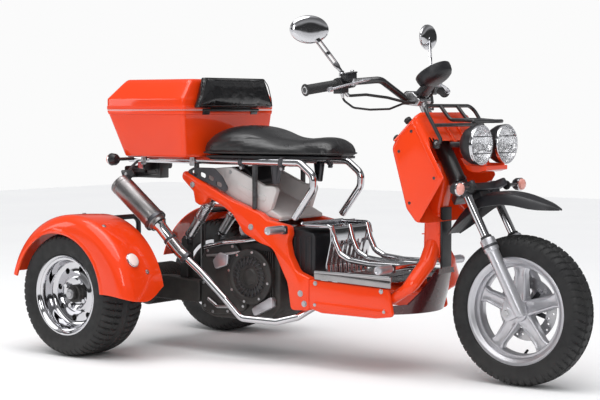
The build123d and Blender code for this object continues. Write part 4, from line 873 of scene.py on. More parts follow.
def onDrum(degrees, y):
    # a point on the drum and its outward direction
    t = math.radians(degrees)
    r = rearFender["drumR"]
    return ((rearFender["x"] + r * math.cos(t), y, rearFender["z"] + r * math.sin(t)),
            (math.cos(t), 0, math.sin(t)))


lamps = []
for sideName, side in (("left", 1), ("right", -1)):
    addPiece(f"rear_fender_{sideName}_shell", [fenderShell(side, rearFender)], "chassis",
             stands=[f"rear_fender_{sideName}"], sharp=50)
    fixings = []
    for degrees, y in ((62, 440), (21, 372), (100, 350), (140, 430)):
        at, out = onDrum(degrees, side * y)
        fixings.append(turned([(-2, 0), (-2, 8.5), (0.8, 8), (1.2, 5.5), (3.6, 4.6), (4.4, 0)], at, out,
            satinSteel, 24))
    addPiece(f"rear_fender_{sideName}_fixings", fixings, "chassis")
    at, out = onDrum(30, side * 425)
    lamps.append(turned([(0.3, 0), (0.3, 25.5), (4, 26), (6, 24.6), (6.5, 23)], at, out, chrome, 48))
    lamps.append(turned([(5.8, 23.6), (8.5, 22), (11, 17), (12.4, 9), (12.8, 0)], at, out, whiteLens, 48))
addPiece("fender_marker_lamps", lamps, "chassis", stands=["fender_lamps"])
print("fenders ready")

# top case: rounded-box rings stacked with height; the tub flares, the lid is bevelled off
topCase = {"tub": ((685.3, 40, 325, 225), (847, -27, 338, 247)),
    "lid": ((848.2, -27, 338, 247), (888, -27, 338, 247), (955, 20, 332, 195)), "corner": 16, "wall": 3.6,
    "steps": 7}


def caseRing(z, rear, front, half, corner, inset=0.0, edgeSteps=10):
    # a rounded rectangle whose straight runs are divided evenly, so that the rings match
    outline = [(rear, -half), (front, -half), (front, half), (rear, half)]
    ring = cornered(outline, corner, inset, topCase["steps"])
    n = topCase["steps"]
    parts = []
    for k in range(4):
        arc = ring[k * n:(k + 1) * n]
        nextStart = ring[((k + 1) % 4) * n]
        t = np.linspace(0, 1, edgeSteps + 2)[1:-1, None]
        parts += [arc, arc[-1] + (nextStart - arc[-1]) * t]
    return levelwise(np.concatenate(parts), z)


def atLevel(levels, z):
    # rear, front and half width of the case at a height
    heights = [level[0] for level in levels]
    return [np.interp(z, heights, [level[k] for level in levels]) for k in (1, 2, 3)]


def caseRows(levels, rows, corner):
    # rows are (height, inset) pairs; each becomes one ring
    return [caseRing(z, *atLevel(levels, z), corner, inset) for z, inset in rows]


def closeRing(ring, towards, steps=6):
    # fills a ring towards its own middle with shrinking copies, which stay flat or lift to a height
    middle = ring.mean(0)
    rows = []
    for s in np.linspace(0, 1, steps + 1)[1:]:
        row = ring + (middle - ring) * s * 0.985
        row[:, 2] = ring[:, 2] + (towards - ring[:, 2]) * math.sin(s * math.pi / 2)
        rows.append(row)
    return rows


tubLevels, lidLevels = topCase["tub"], topCase["lid"]
wall = topCase["wall"]
floorRing = caseRing(685.8, *atLevel(tubLevels, 685.8), topCase["corner"], 5)
outside = closeRing(floorRing, 685.8, 3)[::-1]
outside += [floorRing] + caseRows(tubLevels, [(687, 2), (690, 0.4), (696, 0), (730, 0), (770, 0), (812, 0)],
    topCase["corner"])
outside += caseRows(tubLevels, [(826, 0), (832, 0), (833.5, -2.2), (843, -2.2), (845.6, -1.2),
    (846.6, 0.6)], topCase["corner"])
inside = caseRows(tubLevels, [(846.6, wall - 0.6), (840, wall), (800, wall), (740, wall), (694, wall),
    (690.5, wall + 3)], 14)
floorIn = caseRing(689.6, *atLevel(tubLevels, 690), 14, wall + 6)
inside += [floorIn] + closeRing(floorIn, 689.6, 3)
grid = np.array(outside + inside)
addPiece("top_case_tub", [sheetOf(grid, orangePaint, wrapColumns=True, caps=True)], "chassis",
    stands=["case_tub"], sharp=40)

lidOut = caseRows(lidLevels, [(848.6, 0.6), (849.6, -1.4), (852, -2.2), (861, -2.2), (862.6, 0), (868, 0),
    (882, 0), (886.5, 0.5), (890, 1.2), (895, 1.4), (915, 1.2), (940, 1.2), (949, 2.2), (953, 5)],
    topCase["corner"])
crownRing = caseRing(954.6, *atLevel(lidLevels, 954.6), 15, 10)
lidOut += [crownRing] + closeRing(crownRing, 957.5, 6)
lidIn = caseRows(lidLevels, [(848.6, wall - 0.6), (853, wall), (880, wall), (888, wall + 0.5),
    (920, wall + 1), (945, wall + 2)], 14)
roofRing = caseRing(950.5, *atLevel(lidLevels, 950), 13, wall + 8)
lidIn += [roofRing] + closeRing(roofRing, 952, 4)
grid = np.array(lidOut[::-1] + lidIn)
addPiece("top_case_lid_shell", [sheetOf(grid, orangePaint, wrapColumns=True, caps=True)], "top_case_lid",
         stands=["case_lid"], sharp=40)

# hinge barrels in front, a lock and its strike behind
hinge = {"x": 345, "z": 847.6, "r": 5, "inner": 110, "outer": 150}
barrel = [crossTube(hinge["x"], hinge["z"], hinge["inner"], hinge["r"], blackPaint, 14, ends=1.2)]
barrel.append(plate([(334, 852.6), (344, 852.6), (348, 856), (334, 862)], -108, 108, blackPaint, edge=1))
addPiece("case_hinge_lid", barrel, "top_case_lid")
knuckles = []
for y0, y1 in ((-hinge["outer"], -hinge["inner"] - 0.8), (hinge["inner"] + 0.8, hinge["outer"])):
    knuckles.append(tube(((hinge["x"], y0, hinge["z"]), (hinge["x"], y1, hinge["z"])), hinge["r"],
        blackPaint, ends=1.2))
    knuckles.append(plate([(334.5, 832), (341, 832), (346, 843), (334.5, 846)], y0 + 2, y1 - 2, blackPaint,
        edge=1))
addPiece("case_hinge_tub", knuckles, "chassis")
lock = [plate([(-26, 806), (26, 806), (26, 846), (-26, 846)], -34.5, -25, blackPaint, acrosswise, 6, 2)]
lock += [turned([(0, 0), (0, 9), (3, 9), (4, 7.6), (3.2, 6), (3.2, 0)], (-34, 0, 822), (-1, 0, 0), chrome,
    32)]
lock += [plate([(-1, 816), (1, 816), (1, 828), (-1, 828)], -38.4, -36.8, darkSteel, acrosswise, 0.5, 0.2)]
addPiece("case_lock", lock, "chassis")
strike = [plate([(-20, 851), (20, 851), (16, 872), (-16, 872)], -34.5, -26, blackPaint, acrosswise, 5, 2)]
addPiece("case_strike", strike, "top_case_lid")
# rubber feet under the case, on the carrier
feet = [discAt((x, y, 683), (0, 0, 1), 15, 4.4, softRubber, 1.2, 28) for x in (70, 290) for y in (-60, 60)]
addPiece("case_feet", feet, "chassis")
print("top case ready")


# padded pieces: a slightly small form is blown up as cloth, then divided once
def inflate(piece, size):
    # voxel remesh, cloth under pressure with its base held, and a cap on how far it may swell
    remesh = piece.modifiers.new("voxels", "REMESH")
    remesh.mode, remesh.voxel_size = "VOXEL", size["voxel"] * mm
    graph = bpy.context.evaluated_depsgraph_get()
    mesh = bpy.data.meshes.new_from_object(piece.evaluated_get(graph))
    piece.modifiers.clear()
    piece.data = mesh
    count = len(mesh.vertices)
    start = np.zeros(count * 3, np.float32)
    mesh.vertices.foreach_get("co", start)
    start = start.reshape(-1, 3)
    held = np.nonzero(size["held"](start))[0]
    pins = piece.vertex_groups.new(name="held")
    pins.add(held.tolist(), 1.0, "REPLACE")
    cloth = piece.modifiers.new("cloth", "CLOTH")
    cloth.settings.quality = 6
    cloth.settings.mass = 0.3
    cloth.settings.tension_stiffness = size.get("stiff", 12)
    cloth.settings.compression_stiffness = size.get("stiff", 12)
    cloth.settings.bending_stiffness = 0.6
    cloth.settings.use_pressure = True
    cloth.settings.uniform_pressure_force = size["pressure"]
    cloth.settings.vertex_group_mass = "held"
    cloth.settings.effector_weights.gravity = 0
    cloth.point_cache.frame_start, cloth.point_cache.frame_end = 1, 20
    for frameNumber in range(1, 21):
        scene.frame_set(frameNumber)
    graph = bpy.context.evaluated_depsgraph_get()
    swollen = piece.evaluated_get(graph).data
    after = np.zeros(count * 3, np.float32)
    swollen.vertices.foreach_get("co", after)
    move = after.reshape(-1, 3) - start
    length = np.maximum(np.linalg.norm(move, axis=1, keepdims=True), 1e-9)
    cap = size["cap"] * mm
    move *= np.minimum(length, cap * (1 - np.exp(-length / cap)) / 0.8) / length
    piece.modifiers.clear()
    piece.vertex_groups.clear()
    scene.frame_set(1)
    mesh.vertices.foreach_set("co", (start + move).ravel())
    mesh.update()
    mesh.materials.clear()
    mesh.materials.append(size["material"])
    mesh.polygons.foreach_set("material_index", [0] * len(mesh.polygons))
    mesh.shade_smooth()
    divide = piece.modifiers.new("divide", "SUBSURF")
    divide.levels = divide.render_levels = 1
    return piece


# the saddle: station, half width, top; its section is a superellipse that overhangs the pan a little
saddle = {"stations": (345, 356, 375, 410, 445, 490, 530, 575, 620, 665, 700, 740, 780, 810, 835, 852),
          "half": (132, 157, 166, 170, 169, 167, 163, 151, 137, 125, 117, 108, 99, 88, 68, 34),
          "top": (738, 757, 774, 786, 789, 785, 776, 761, 750, 745, 744, 747, 751, 748, 736, 712),
          "base": 694.4, "voxel": 5, "pressure": 4.0, "cap": 7, "material": blackVinyl,
          "held": lambda co: co[:, 2] < 0.7005}


def saddleForm(size):
    # along X the outline follows the tables; across, two superellipses meet at the widest level
    columns = 48
    x = np.linspace(size["stations"][0], size["stations"][-1], 56)
    half = smoothCurve(size["stations"], size["half"], x)
    top = smoothCurve(size["stations"], size["top"], x)
    a = np.linspace(-0.5 * math.pi, 1.5 * math.pi, columns, endpoint=False)
    c, s = np.cos(a), np.sin(a)
    rise = (top - size["base"])[:, None]
    # flat underneath, full at the sides, rounded over the top
    level = np.where(s > 0, 0.30 + 0.70 * np.abs(s) ** (2 / 2.1), 0.30 - 0.30 * np.abs(s) ** (2 / 5.0))
    wide = np.where(s > 0, np.abs(c) ** (2 / 2.7), np.abs(c) ** (2 / 4.2)) * np.sign(c)
    y = half[:, None] * wide[None] * (1 - 0.03 * (s < 0) * np.abs(s))
    z = size["base"] + rise * level[None]
    return sheetOf(np.stack([np.repeat(x[:, None], columns, 1), y, z], -1), blackVinyl, wrapColumns=True,
        caps=True)


seat = addPiece("saddle_cushion", [saddleForm(saddle)], "chassis", stands=["seat"], sharp=60)
inflate(seat, saddle)

# the saddle's welt and lower skirt band follow the plan round the pan
t = np.linspace(saddle["stations"][0] + 2, saddle["stations"][-1] - 3, 60)
h = smoothCurve(saddle["stations"], saddle["half"], t) + 3.5
loop = np.concatenate([np.stack([t, h], -1), np.stack([t[::-1], -h[::-1]], -1)])
loop = np.concatenate([loop, loop[:1]])
welt = [tube(levelwise(loop, 703.5), 2.6, piping, steps=8)]
pan = [plate(np.stack([np.concatenate([t, t[::-1]]), np.concatenate([h - 8, 8 - h[::-1]])], -1)[::3], 686,
    693.8, blackPlastic, levelwise, 4, 1.5, 2)]
addPiece("saddle_welt", welt, "chassis", sharp=60)
addPiece("saddle_pan", pan, "chassis", stands=["seat_pan"], sharp=60)

# the backrest: a trapezoid pad with a crowned face; its back lies flat on the lid
backrest = {"x": 338.8, "z": (855, 960), "half": (209, 166), "thick": (34, 28), "voxel": 5, "pressure": 4.5,
    "cap": 8, "material": wrinkledVinyl, "held": lambda co: co[:, 0] < axleX + 0.3405}


def backrestForm(size):
    # level rings from the lower edge to the upper, each a superellipse flat at the back
    rows, columns = 16, 56
    share = np.linspace(0, 1, rows)
    z = size["z"][0] + (size["z"][1] - size["z"][0]) * share
    half = size["half"][0] + (size["half"][1] - size["half"][0]) * share
    thick = size["thick"][0] + (size["thick"][1] - size["thick"][0]) * share
    ends = 1 - 0.10 * (2 * share - 1) ** 8
    a = np.linspace(0, 2 * math.pi, columns, endpoint=False)
    wide = np.sign(np.cos(a)) * np.abs(np.cos(a)) ** (2 / 6.0)
    deep = 0.5 + 0.5 * np.sign(np.sin(a)) * np.abs(np.sin(a)) ** (2 / 4.0)
    y = (half * (0.985 + 0.015 * ends))[:, None] * wide[None]
    x = size["x"] + (thick * ends)[:, None] * deep[None]
    return sheetOf(np.stack([x, y, np.repeat(z[:, None], columns, 1)], -1), wrinkledVinyl, wrapColumns=True,
        caps=True)


pad = addPiece("backrest_cushion", [backrestForm(backrest)], "top_case_lid", stands=["backrest_pad"],
    sharp=60)
inflate(pad, backrest)
seam = []
for side in (-1, 1):
    seam.append(tube(((371.5, side * 196, 862), (374.5, side * 189, 885), (373, side * 172, 935),
        (365, side * 157, 957)), 1.8, piping, bend=60, steps=8))
for z, half, x in ((863, 198, 373), (957.5, 158, 364)):
    seam.append(tube([(x - 2, -half, z), (x, 0, z), (x - 2, half, z)], 1.8, piping, bend=400, steps=8))
addPiece("backrest_piping", seam, "top_case_lid", sharp=60)

print("seat and backrest ready")

# seat frame: bent chrome tubes with clamps and hooks, carrier bars, posts and saddle brackets
seatFrame = {"y": 135, "z": 674, "r": 12.6, "bend": 34, "clamps": (505, 678), "latches": (60, 290)}
clamps = []
route = [(-20, 674), (752, 674), (808, 632), (806, 588), (728, 489)]
rails = [tube([(x, -seatFrame["y"], z) for x, z in route], seatFrame["r"], chrome, bend=seatFrame["bend"],
              steps=22, ends=2, arcSteps=12)]
for x in seatFrame["clamps"]:
    clamps.append(turned(((-6, 12), (-6, 17), (-5, 18), (5, 18), (6, 17), (6, 12), (-6, 12)),
        (x, -seatFrame["y"], seatFrame["z"]), (1, 0, 0), darkSteel, 28))
    clamps.append(plate(rect(x - 6, 648, x + 6, 662), -141, -129, darkSteel, radius=2, edge=1))
    clamps += bolt((x, -142, 653), (0, -1, 0), 4.4, satinSteel)
for x in seatFrame["latches"]:
    # over-centre hooks between the rail and the case
    clamps.append(plate([(x - 8, 655), (x + 16, 655), (x + 12, 700), (x - 4, 700)], -153, -150, satinSteel,
        radius=4, edge=0.8))
    clamps += bolt((x + 4, -153, 674), (0, -1, 0), 5, satinSteel)
addPiece("seat_rail_tubes", bothSides(rails), "chassis", stands=["seat_rails"])
addPiece("rail_clamps", bothSides(clamps), "chassis")
bars = [crossTube(x, seatFrame["z"], 126, 8, blackPaint) for x in (20, 310)]
bars += bothSides([tube(((x, -134, z), (x, -134, 664)), 9, blackPaint, steps=16)
    for x, z in ((300, 622), (560, 516))])
addPiece("carrier_bars", bars, "chassis", stands=["case_carrier"])
# a folded bracket with two flanges carries the saddle from each rail
bracket = [plate([(622, 664), (660, 664), (650, 600), (632, 600)], -128, -124, darkSteel, radius=5, edge=1)]
for flange in ([(626, 664), (630, 664), (637, 602), (634, 602)],
        [(652, 664), (656, 664), (647, 602), (644, 602)]):
    bracket.append(plate(flange, -128, -108, darkSteel, radius=1, edge=0.8))
addPiece("saddle_brackets", bothSides(bracket), "chassis")
repaint("fender_stays", blackPaint)

# frame: two thick side plates with eased edges, a slotted gusset and cross tubes
frameSide = {"outline": ((255, 640), (464, 545), (595, 503), (630, 481), (718, 465), (721, 436), (711, 412),
    (723, 366), (752, 316), (806, 298), (806, 190), (727, 186), (714, 274), (651, 388), (595, 402),
    (526, 432), (478, 493), (430, 522), (368, 548), (354, 528), (331, 518), (308, 528), (300, 566),
    (246, 612)), "radius": (16, 60, 60, 20, 14, 12, 30, 40, 30, 8, 12, 16, 60, 50, 50, 40, 30, 30, 12, 12,
    20, 12, 12, 16), "y": (-156, -120), "edge": 7}
framePlate = plate(frameSide["outline"], *frameSide["y"], orangePaint, radius=frameSide["radius"],
    edge=frameSide["edge"], steps=8)
for side, name in ((-1, "right"), (1, "left")):
    addPiece(f"frame_{name}_plate", [framePlate if side < 0 else mirrorY(framePlate)], "chassis",
             stands=[f"frame_side_{name}"], sharp=40)
gusset = addPiece("frame_gussets", [plate([(262, 634), (300, 650), (392, 650), (430, 620), (470, 560),
    (300, 618)], -150, -146, darkSteel, radius=(10, 20, 20, 20, 12, 8), edge=1)], "chassis")
carve(gusset, [plate([(x, z), (x + 26, z - 8), (x + 24, z - 24), (x, z - 16)], -160, -140, darkSteel,
    radius=8, edge=1) for x, z in ((292, 642), (330, 636), (366, 626), (402, 606))])
braces = [crossTube(x, z, 122, 12, blackPaint, 20) for x, z in ((300, 590), (560, 455), (737, 205))]
braces.append(crossTube(331, 542, 122, 7, blackPaint))
addPiece("frame_cross_tubes", braces, "chassis", stands=["frame_braces"])
bits = []
for x, z in ((300, 590), (560, 455), (770, 245), (786, 212)):
    bits += bolt((x, -156.5, z), (0, -1, 0), 8, satinSteel)
bits += bolt((331, -121, 542), (0, -1, 0), 9, satinSteel)
addPiece("frame_bolts", bothSides(bits), "chassis")
print("frame ready")

# rear axle: housing with flanged ends, shafts, two arms to the engine and shock ears
axleParts = [turned(((-362, 0), (-362, 52), (-352, 54), (-350, 40), (-120, 36), (-96, 60), (-78, 70),
    (78, 70), (96, 60), (120, 36), (350, 40), (352, 54), (362, 52), (362, 0)), (0, 0, rearR), (0, 1, 0),
    engineBlack, 56), crossTube(0, rearR, 444, 14, darkSteel, 24)]
# cooling ribs round the middle of the housing
for y in range(-66, 67, 12):
    axleParts.append(discAt((0, y, rearR), (0, 1, 0), 74, 3.5, engineBlack, edge=1, steps=40))
arm = [plate([(-20, 180), (300, 175), (300, 250), (150, 262), (-20, 250)], -122, -78, engineBlack,
    radius=14, edge=5)]
for y in (-106, -76):
    arm.append(plate([(196, 250), (232, 250), (226, 396), (202, 396)], y, y + 6, engineBlack, radius=9,
        edge=1.5))
for a in range(6):
    arm += bolt(around((0, -361, rearR), 46, a * math.pi / 3), (0, -1, 0), 5, satinSteel, washer=False)
arm += bolt((30, -123, rearR), (0, -1, 0), 13, satinSteel)
addPiece("axle_housing", axleParts + bothSides(arm), "chassis", stands=["rear_axle"])

# rear shocks: a finned body and a coil between two eyes
shock = {"top": (331, -88, 542), "foot": (214, -88, 389), "turns": 10, "coilR": 17.6, "wireR": 2.6,
    "coil": (28, 62)}
top, foot = np.array(shock["top"], float), np.array(shock["foot"], float)
down = unit(foot - top)
length = np.linalg.norm(foot - top)
shockParts = [turned(((8, 0), (8, 12), (16, 16), (20, 20.5), (24, 20.5), (26, 16), (92, 16), (94, 20.5),
    (100, 20.5), (102, 17), (length - 22, 16), (length - 18, 13), (length - 8, 12), (length - 4, 0)), top,
    down, satinSteel, 32)]
u, v = crossPair(down)
t = np.linspace(0, shock["turns"] * 2 * math.pi, 150)
coilStart, coilRun = shock["coil"]
line = top + down * (coilStart + t / t[-1] * coilRun)[:, None] + shock["coilR"] * (np.cos(t)[:,
    None] * u + np.sin(t)[:, None] * v)
ring = np.arange(8) * math.pi / 4
tangent, a, b = pathFrames(line)
across = np.cos(ring)[None, :, None] * a[:, None] + np.sin(ring)[None, :, None] * b[:, None]
shockParts.append(sheetOf(line[:, None] + shock["wireR"] * across, chrome, wrapColumns=True, caps=True))
shockParts.append(turned(((length - 24, 9), (length - 24, 19), (length - 20, 19), (length - 18, 9),
    (length - 24, 9)), top, down, darkSteel, 32))
for end in (top, foot):
    shockParts.append(turned(collar(-12, 12, 7, 15), end, (0, 1, 0), darkSteel, 24))
    shockParts += bolt(end + (0, -13, 0), (0, -1, 0), 8, chrome)
    shockParts.append(tube((end + (0, -13, 0), end + (0, 14, 0)), 7, satinSteel))
addPiece("shock_absorbers", bothSides(shockParts), "chassis", stands=["rear_shocks"])
print("axle and shocks ready")

# engine: crankcase, finned barrel, round fan cover with vanes, side case, carburettor and pipes
engine = {"outline": ((300, 150), (360, 130), (600, 130), (655, 180), (655, 350), (600, 400), (450, 415),
    (330, 380), (300, 330)), "fan": (542, 284), "fins": 9, "vanes": 24, "vaneFrom": 42, "vaneTo": 68}
fx, fz = engine["fan"]
core = [plate(engine["outline"], -118, 118, engineBlack, radius=26, edge=10, steps=6)]
# the side case stands proud on the left, the belt case on the right
core.append(plate([(318, 160), (368, 142), (470, 150), (520, 170), (520, 330), (470, 392), (345, 372),
    (318, 320)], -134, -112, engineBlack, radius=24, edge=6))
core.append(plate([(310, 158), (366, 136), (600, 140), (640, 190), (636, 300), (560, 372), (380, 372),
    (312, 322)], 112, 134, engineBlack, radius=30, edge=7))
for k in range(engine["fins"]):
    x = 556 + k * 9
    core.append(plate(rect(x, 210, x + 4, 372), -128, 128, engineBlack, radius=1.5, edge=1.5))
addPiece("engine_cases", core, "chassis", stands=["engine_block"])
cover = [turned(((-24, 0), (-24, 92), (0, 95), (8, 94), (13, 88), (15, 80), (13.5, 74), (9, 70), (8, 62),
    (11, 58), (12, 50), (9, 46), (7, 40), (8, 30), (12, 26), (13, 18), (16, 14), (17, 0)), (fx, -135, fz),
    (0, -1, 0), engineBlack, 72)]
vanes, root, tip = [], engine["vaneFrom"], engine["vaneTo"]
for k in range(engine["vanes"]):
    t = k * 2 * math.pi / engine["vanes"]
    blade = np.array([(root, -1.6), (tip, -1.8), (tip, 1.8), (root, 1.6)])
    swirl = blade[:, 0] * 0.008 + t
    xz = np.stack([fx + blade[:, 0] * np.sin(swirl) + blade[:, 1] * np.cos(swirl),
                   fz + blade[:, 0] * np.cos(swirl) - blade[:, 1] * np.sin(swirl)], -1)
    vanes.append(plate(xz, -148, -142, darkSteel, radius=0.8, edge=0.5, steps=2))
for k in range(8):
    vanes += bolt(around((fx, -148.5, fz), 86, k * math.pi / 4 + 0.2), (0, -1, 0), 5, satinSteel,
        washer=False)
addPiece("fan_cover", cover + vanes, "chassis")
fittings = [tube(((330, -128, 372), (420, -132, 392), (520, -128, 404), (600, -118, 418)), 7, chrome,
    bend=30), tube(((345, -132, 344), (420, -138, 352), (500, -134, 366)), 5, satinSteel, bend=30),
    turned(((-30, 0), (-30, 26), (-20, 30), (14, 30), (20, 22), (40, 20), (46, 24), (52, 24), (52, 0)),
    (470, -60, 436), (0.5, -0.75, 0.3), castSilver, 32),
    plate([(392, 300), (446, 318), (452, 352), (410, 360), (380, 330)], -146, -134, castSilver, radius=10,
    edge=3), plate([(560, 150), (640, 186), (640, 226), (590, 200), (548, 176)], -142, -118, castSilver,
    radius=9, edge=4), tube(((356, -140, 196), (400, -142, 172), (470, -140, 176)), 6, satinSteel, bend=20)]
for x, z in ((336, 170), (372, 152), (440, 158), (508, 180), (508, 320), (462, 382), (350, 362), (330, 250)):
    fittings += bolt((x, -134, z), (0, -1, 0), 5.5, satinSteel, washer=False)
for x, z in ((330, 170), (450, 148), (590, 150), (626, 240), (560, 356), (390, 360), (326, 300)):
    fittings += bolt((x, 134, z), (0, 1, 0), 5.5, satinSteel, washer=False)
for k in range(5):
    # ribs cast into the sump
    fittings.append(plate(rect(380 + k * 44, 124, 386 + k * 44, 136), -100, 100, engineBlack, radius=1.5,
        edge=1.5))
addPiece("engine_fittings", fittings, "chassis")
print("engine ready")

# exhaust: a brushed can with a band clamp, a narrower neck, a hanger and the bent pipe
muffler = {"top": (87, -300, 598), "end": (256, -280, 456), "tip": (300, -268, 404)}
top, end, tip = (np.array(muffler[k], float) for k in ("top", "end", "tip"))
down, length = unit(end - top), np.linalg.norm(end - top)
split = length - 14
can = [turned(((30, 0), (30, 12.5), (1, 13), (-1.5, 15), (-1, 18), (3, 20), (1, 30), (2.5, 35.5), (6, 38),
    (16, 38.2), (17, 39), (19, 39), (20, 38.2), (split - 3, 38), (split, 36), (split + 2, 31.5),
    (split + 4, 31), (length - 4, 31), (length - 1, 30), (length, 0)), top, down, brushedSteel, 56)]
can.append(turned(((0, 0), (0, 27), (8, 24.5), (14, 21.5), (72, 21), (74, 19.5), (74, 0)),
                  end - down * 2, unit(tip - end), chrome, 48))
band = [turned(((-7, 37), (-7, 40), (-6, 41), (6, 41), (7, 40), (7, 37), (-7, 37)),
    top + down * (split - 8), down, darkSteel, 48), turned(((-5, 20), (-5, 23.4), (-4, 24), (4, 24),
    (5, 23.4), (5, 20), (-5, 20)), end + unit(tip - end) * 64, unit(tip - end), darkSteel, 48)]
band += bolt(top + down * (split - 8) + (0, -43, 6), (0, -1, 0), 4.5, satinSteel)
# a bent rod runs from the carrier down to a flat hanger on the band
hanger = [tube(((20, -140, 662), (52, -196, 650), (98, -262, 636), (112, -288, 612)), 5, blackPaint,
    bend=30, steps=12), plate([(84, 640), (140, 640), (150, 628), (126, 604), (96, 612)], -290, -286,
    blackPaint, radius=6, edge=1)]
hanger += bolt((110, -290, 626), (0, -1, 0), 5, satinSteel)
addPiece("muffler_can", can, "chassis", stands=["muffler"])
addPiece("muffler_bands", band + hanger, "chassis")
pipe = {"route": ((296, -269, 408), (333, -258, 365), (406, -240, 303), (500, -220, 213), (555, -200, 150),
    (675, -165, 144), (740, -130, 162), (785, -85, 200), (770, -60, 262), (655.3, -60, 262)), "r": 12}
addPiece("exhaust_tube", [tube(pipe["route"], pipe["r"], chrome, bend=30, steps=20, arcSteps=10),
    tube(((299, -268, 404), (333, -258, 365), (357, -252, 345)), 20.5, darkChrome, bend=30, steps=28,
    ends=2), turned(collar(-4, 4, 12, 24), (662, -60, 262), (1, 0, 0), darkSteel, 32),
    turned(collar(-6, 6, 12, 23), (354, -253, 347), (0.74, 0.18, -0.63), darkSteel, 32)], "chassis",
    stands=["exhaust_pipe"])

# grey panels under the saddle, the lamp, bracket and signals behind it
underPanel = {"spine": ((330, 645), (420, 652), (500, 560), (600, 520), (660, 492), (660, 478), (600, 490),
    (464, 533), (345, 588)), "cheek": ((418, 652), (446, 652), (588, 593), (646, 592), (616, 512),
    (596, 500), (500, 530), (400, 572))}
panels = [plate(underPanel["spine"], -117, 117, greyPlastic, radius=(12, 20, 30, 12, 4, 6, 30, 30, 8),
    edge=5)]
panels += bothSides([plate(underPanel["cheek"], -119, -98, greyPlastic,
    radius=(6, 10, 20, 14, 10, 8, 30, 20), edge=4), plate([(470, 600), (560, 566), (600, 560), (590, 540),
    (520, 552), (468, 582)], -121, -116, greyPlastic, radius=8, edge=2)])
addPiece("underseat_covers", panels, "chassis", stands=["underseat_panel"])
box = [plate([(395, 652), (470, 652), (520, 600), (470, 585), (400, 612)], -70, 70, darkSteel, radius=10,
    edge=4)]
box += bothSides(bolt((440, -120, 636), (0, -1, 0), 5, satinSteel) + bolt((560, -122, 558), (0, -1, 0), 4,
    satinSteel))
addPiece("airbox", box, "chassis")

tailLamp = {"low": 634.3, "high": 678, "half": 75,
            "rows": ((-6, 0), (-30, 0), (-38, -2), (-42.5, -6), (-45, -14))}
lampRows = []
for x, grow in tailLamp["rows"]:
    half, rise = tailLamp["half"] + grow, grow * 0.6
    corners = rect(-half, tailLamp["low"] - rise, half, tailLamp["high"] + rise)
    lampRows.append(acrosswise(cornered(corners, 9, 0, 5), x))
tail = [sheetOf(lampRows, redLens, wrapColumns=True, caps=True),
        plate(rect(-77, 632, 77, 680), -12, -4, blackPlastic, acrosswise, 10, 2)]
for y in range(-60, 61, 12):
    # vertical flutes in the lens
    tail.append(plate(rect(y - 1.2, 644, y + 1.2, 668), -46, -42, redLens, acrosswise, 0.8, 0.8, 2))
addPiece("tail_lamp", tail, "chassis", stands=["tail_light"])
bracket = addPiece("number_bracket",
    [plate(rect(-88, 600, 88, 644), -90, -87, blackPaint, acrosswise, 8, 0.8),
    plate([(-90, 600), (28, 600), (28, 665), (12, 665), (12, 616), (-90, 616)], -22, 22, blackPaint,
    radius=4, edge=2)], "chassis", stands=["plate_bracket"])
carve(bracket, [plate(rect(y - 22, 612, y + 22, 632), -95, -80, blackPaint, acrosswise, 9, 1)
                for y in (-44, 44)]
      + [turned(collar(-8, 8, 0, 3.2), (-88.5, y, 622), (1, 0, 0), blackPaint, 16) for y in (-73, 73)])


def signalLamp(centre, r, length, axis, stalk, lens):
    # a bullet housing with a chrome rim and a domed lens, on a bent stalk
    axis = unit(axis)
    h = length / 2
    return [turned(((-h, 0), (-h, r * 0.30), (-h * 0.86, r * 0.72), (-h * 0.5, r * 0.95), (h * 0.1, r),
        (h * 0.2, r), (h * 0.2, 0)), centre, axis, blackPlastic, 40), turned(((h * 0.16, 0),
        (h * 0.16, r * 1.02), (h * 0.34, r * 1.02), (h * 0.38, r * 0.93), (h * 0.38, 0)), centre, axis,
        chrome, 40), turned(((h * 0.36, 0), (h * 0.36, r * 0.90), (h * 0.7, r * 0.82), (h * 0.9, r * 0.55),
        (h, 0)), centre, axis, lens, 40), tube(stalk, 6, blackPaint, bend=10, steps=14)]


rearSignal = signalLamp((10, -250, 674), 21.6, 45.5, (-1, 0, 0), ((10, -146, 674), (10, -234, 674)),
    amberLens)
addPiece("rear_signal_lamps", bothSides(rearSignal), "chassis", stands=["rear_signals"])

# battery box, luggage platform with its bent tubes, kick plate, deck
battery = {"outline": ((662, 300), (800, 300), (800, 440), (740, 455), (662, 455))}
boxParts = [plate(battery["outline"], -116, 116, blackPlastic, radius=(8, 12, 18, 14, 8), edge=6)]
for k in range(5):
    x = 690 + k * 22
    boxParts.append(plate(rect(x, 318, x + 8, 430), -119, 119, blackPlastic, radius=3, edge=2))
addPiece("battery_case", boxParts, "chassis", stands=["battery_box"])

platform = {"half": 115, "tubes": (-100, 0, 100), "r": 10, "flutes": 26}
line = roundPath([(742, 0, 474), (747, 0, 463.5), (864, 0, 465.5), (865.5, 0, 420), (848, 0, 340),
    (850, 0, 308)], 9, 6)
across = np.linspace(-platform["half"], platform["half"], 120)
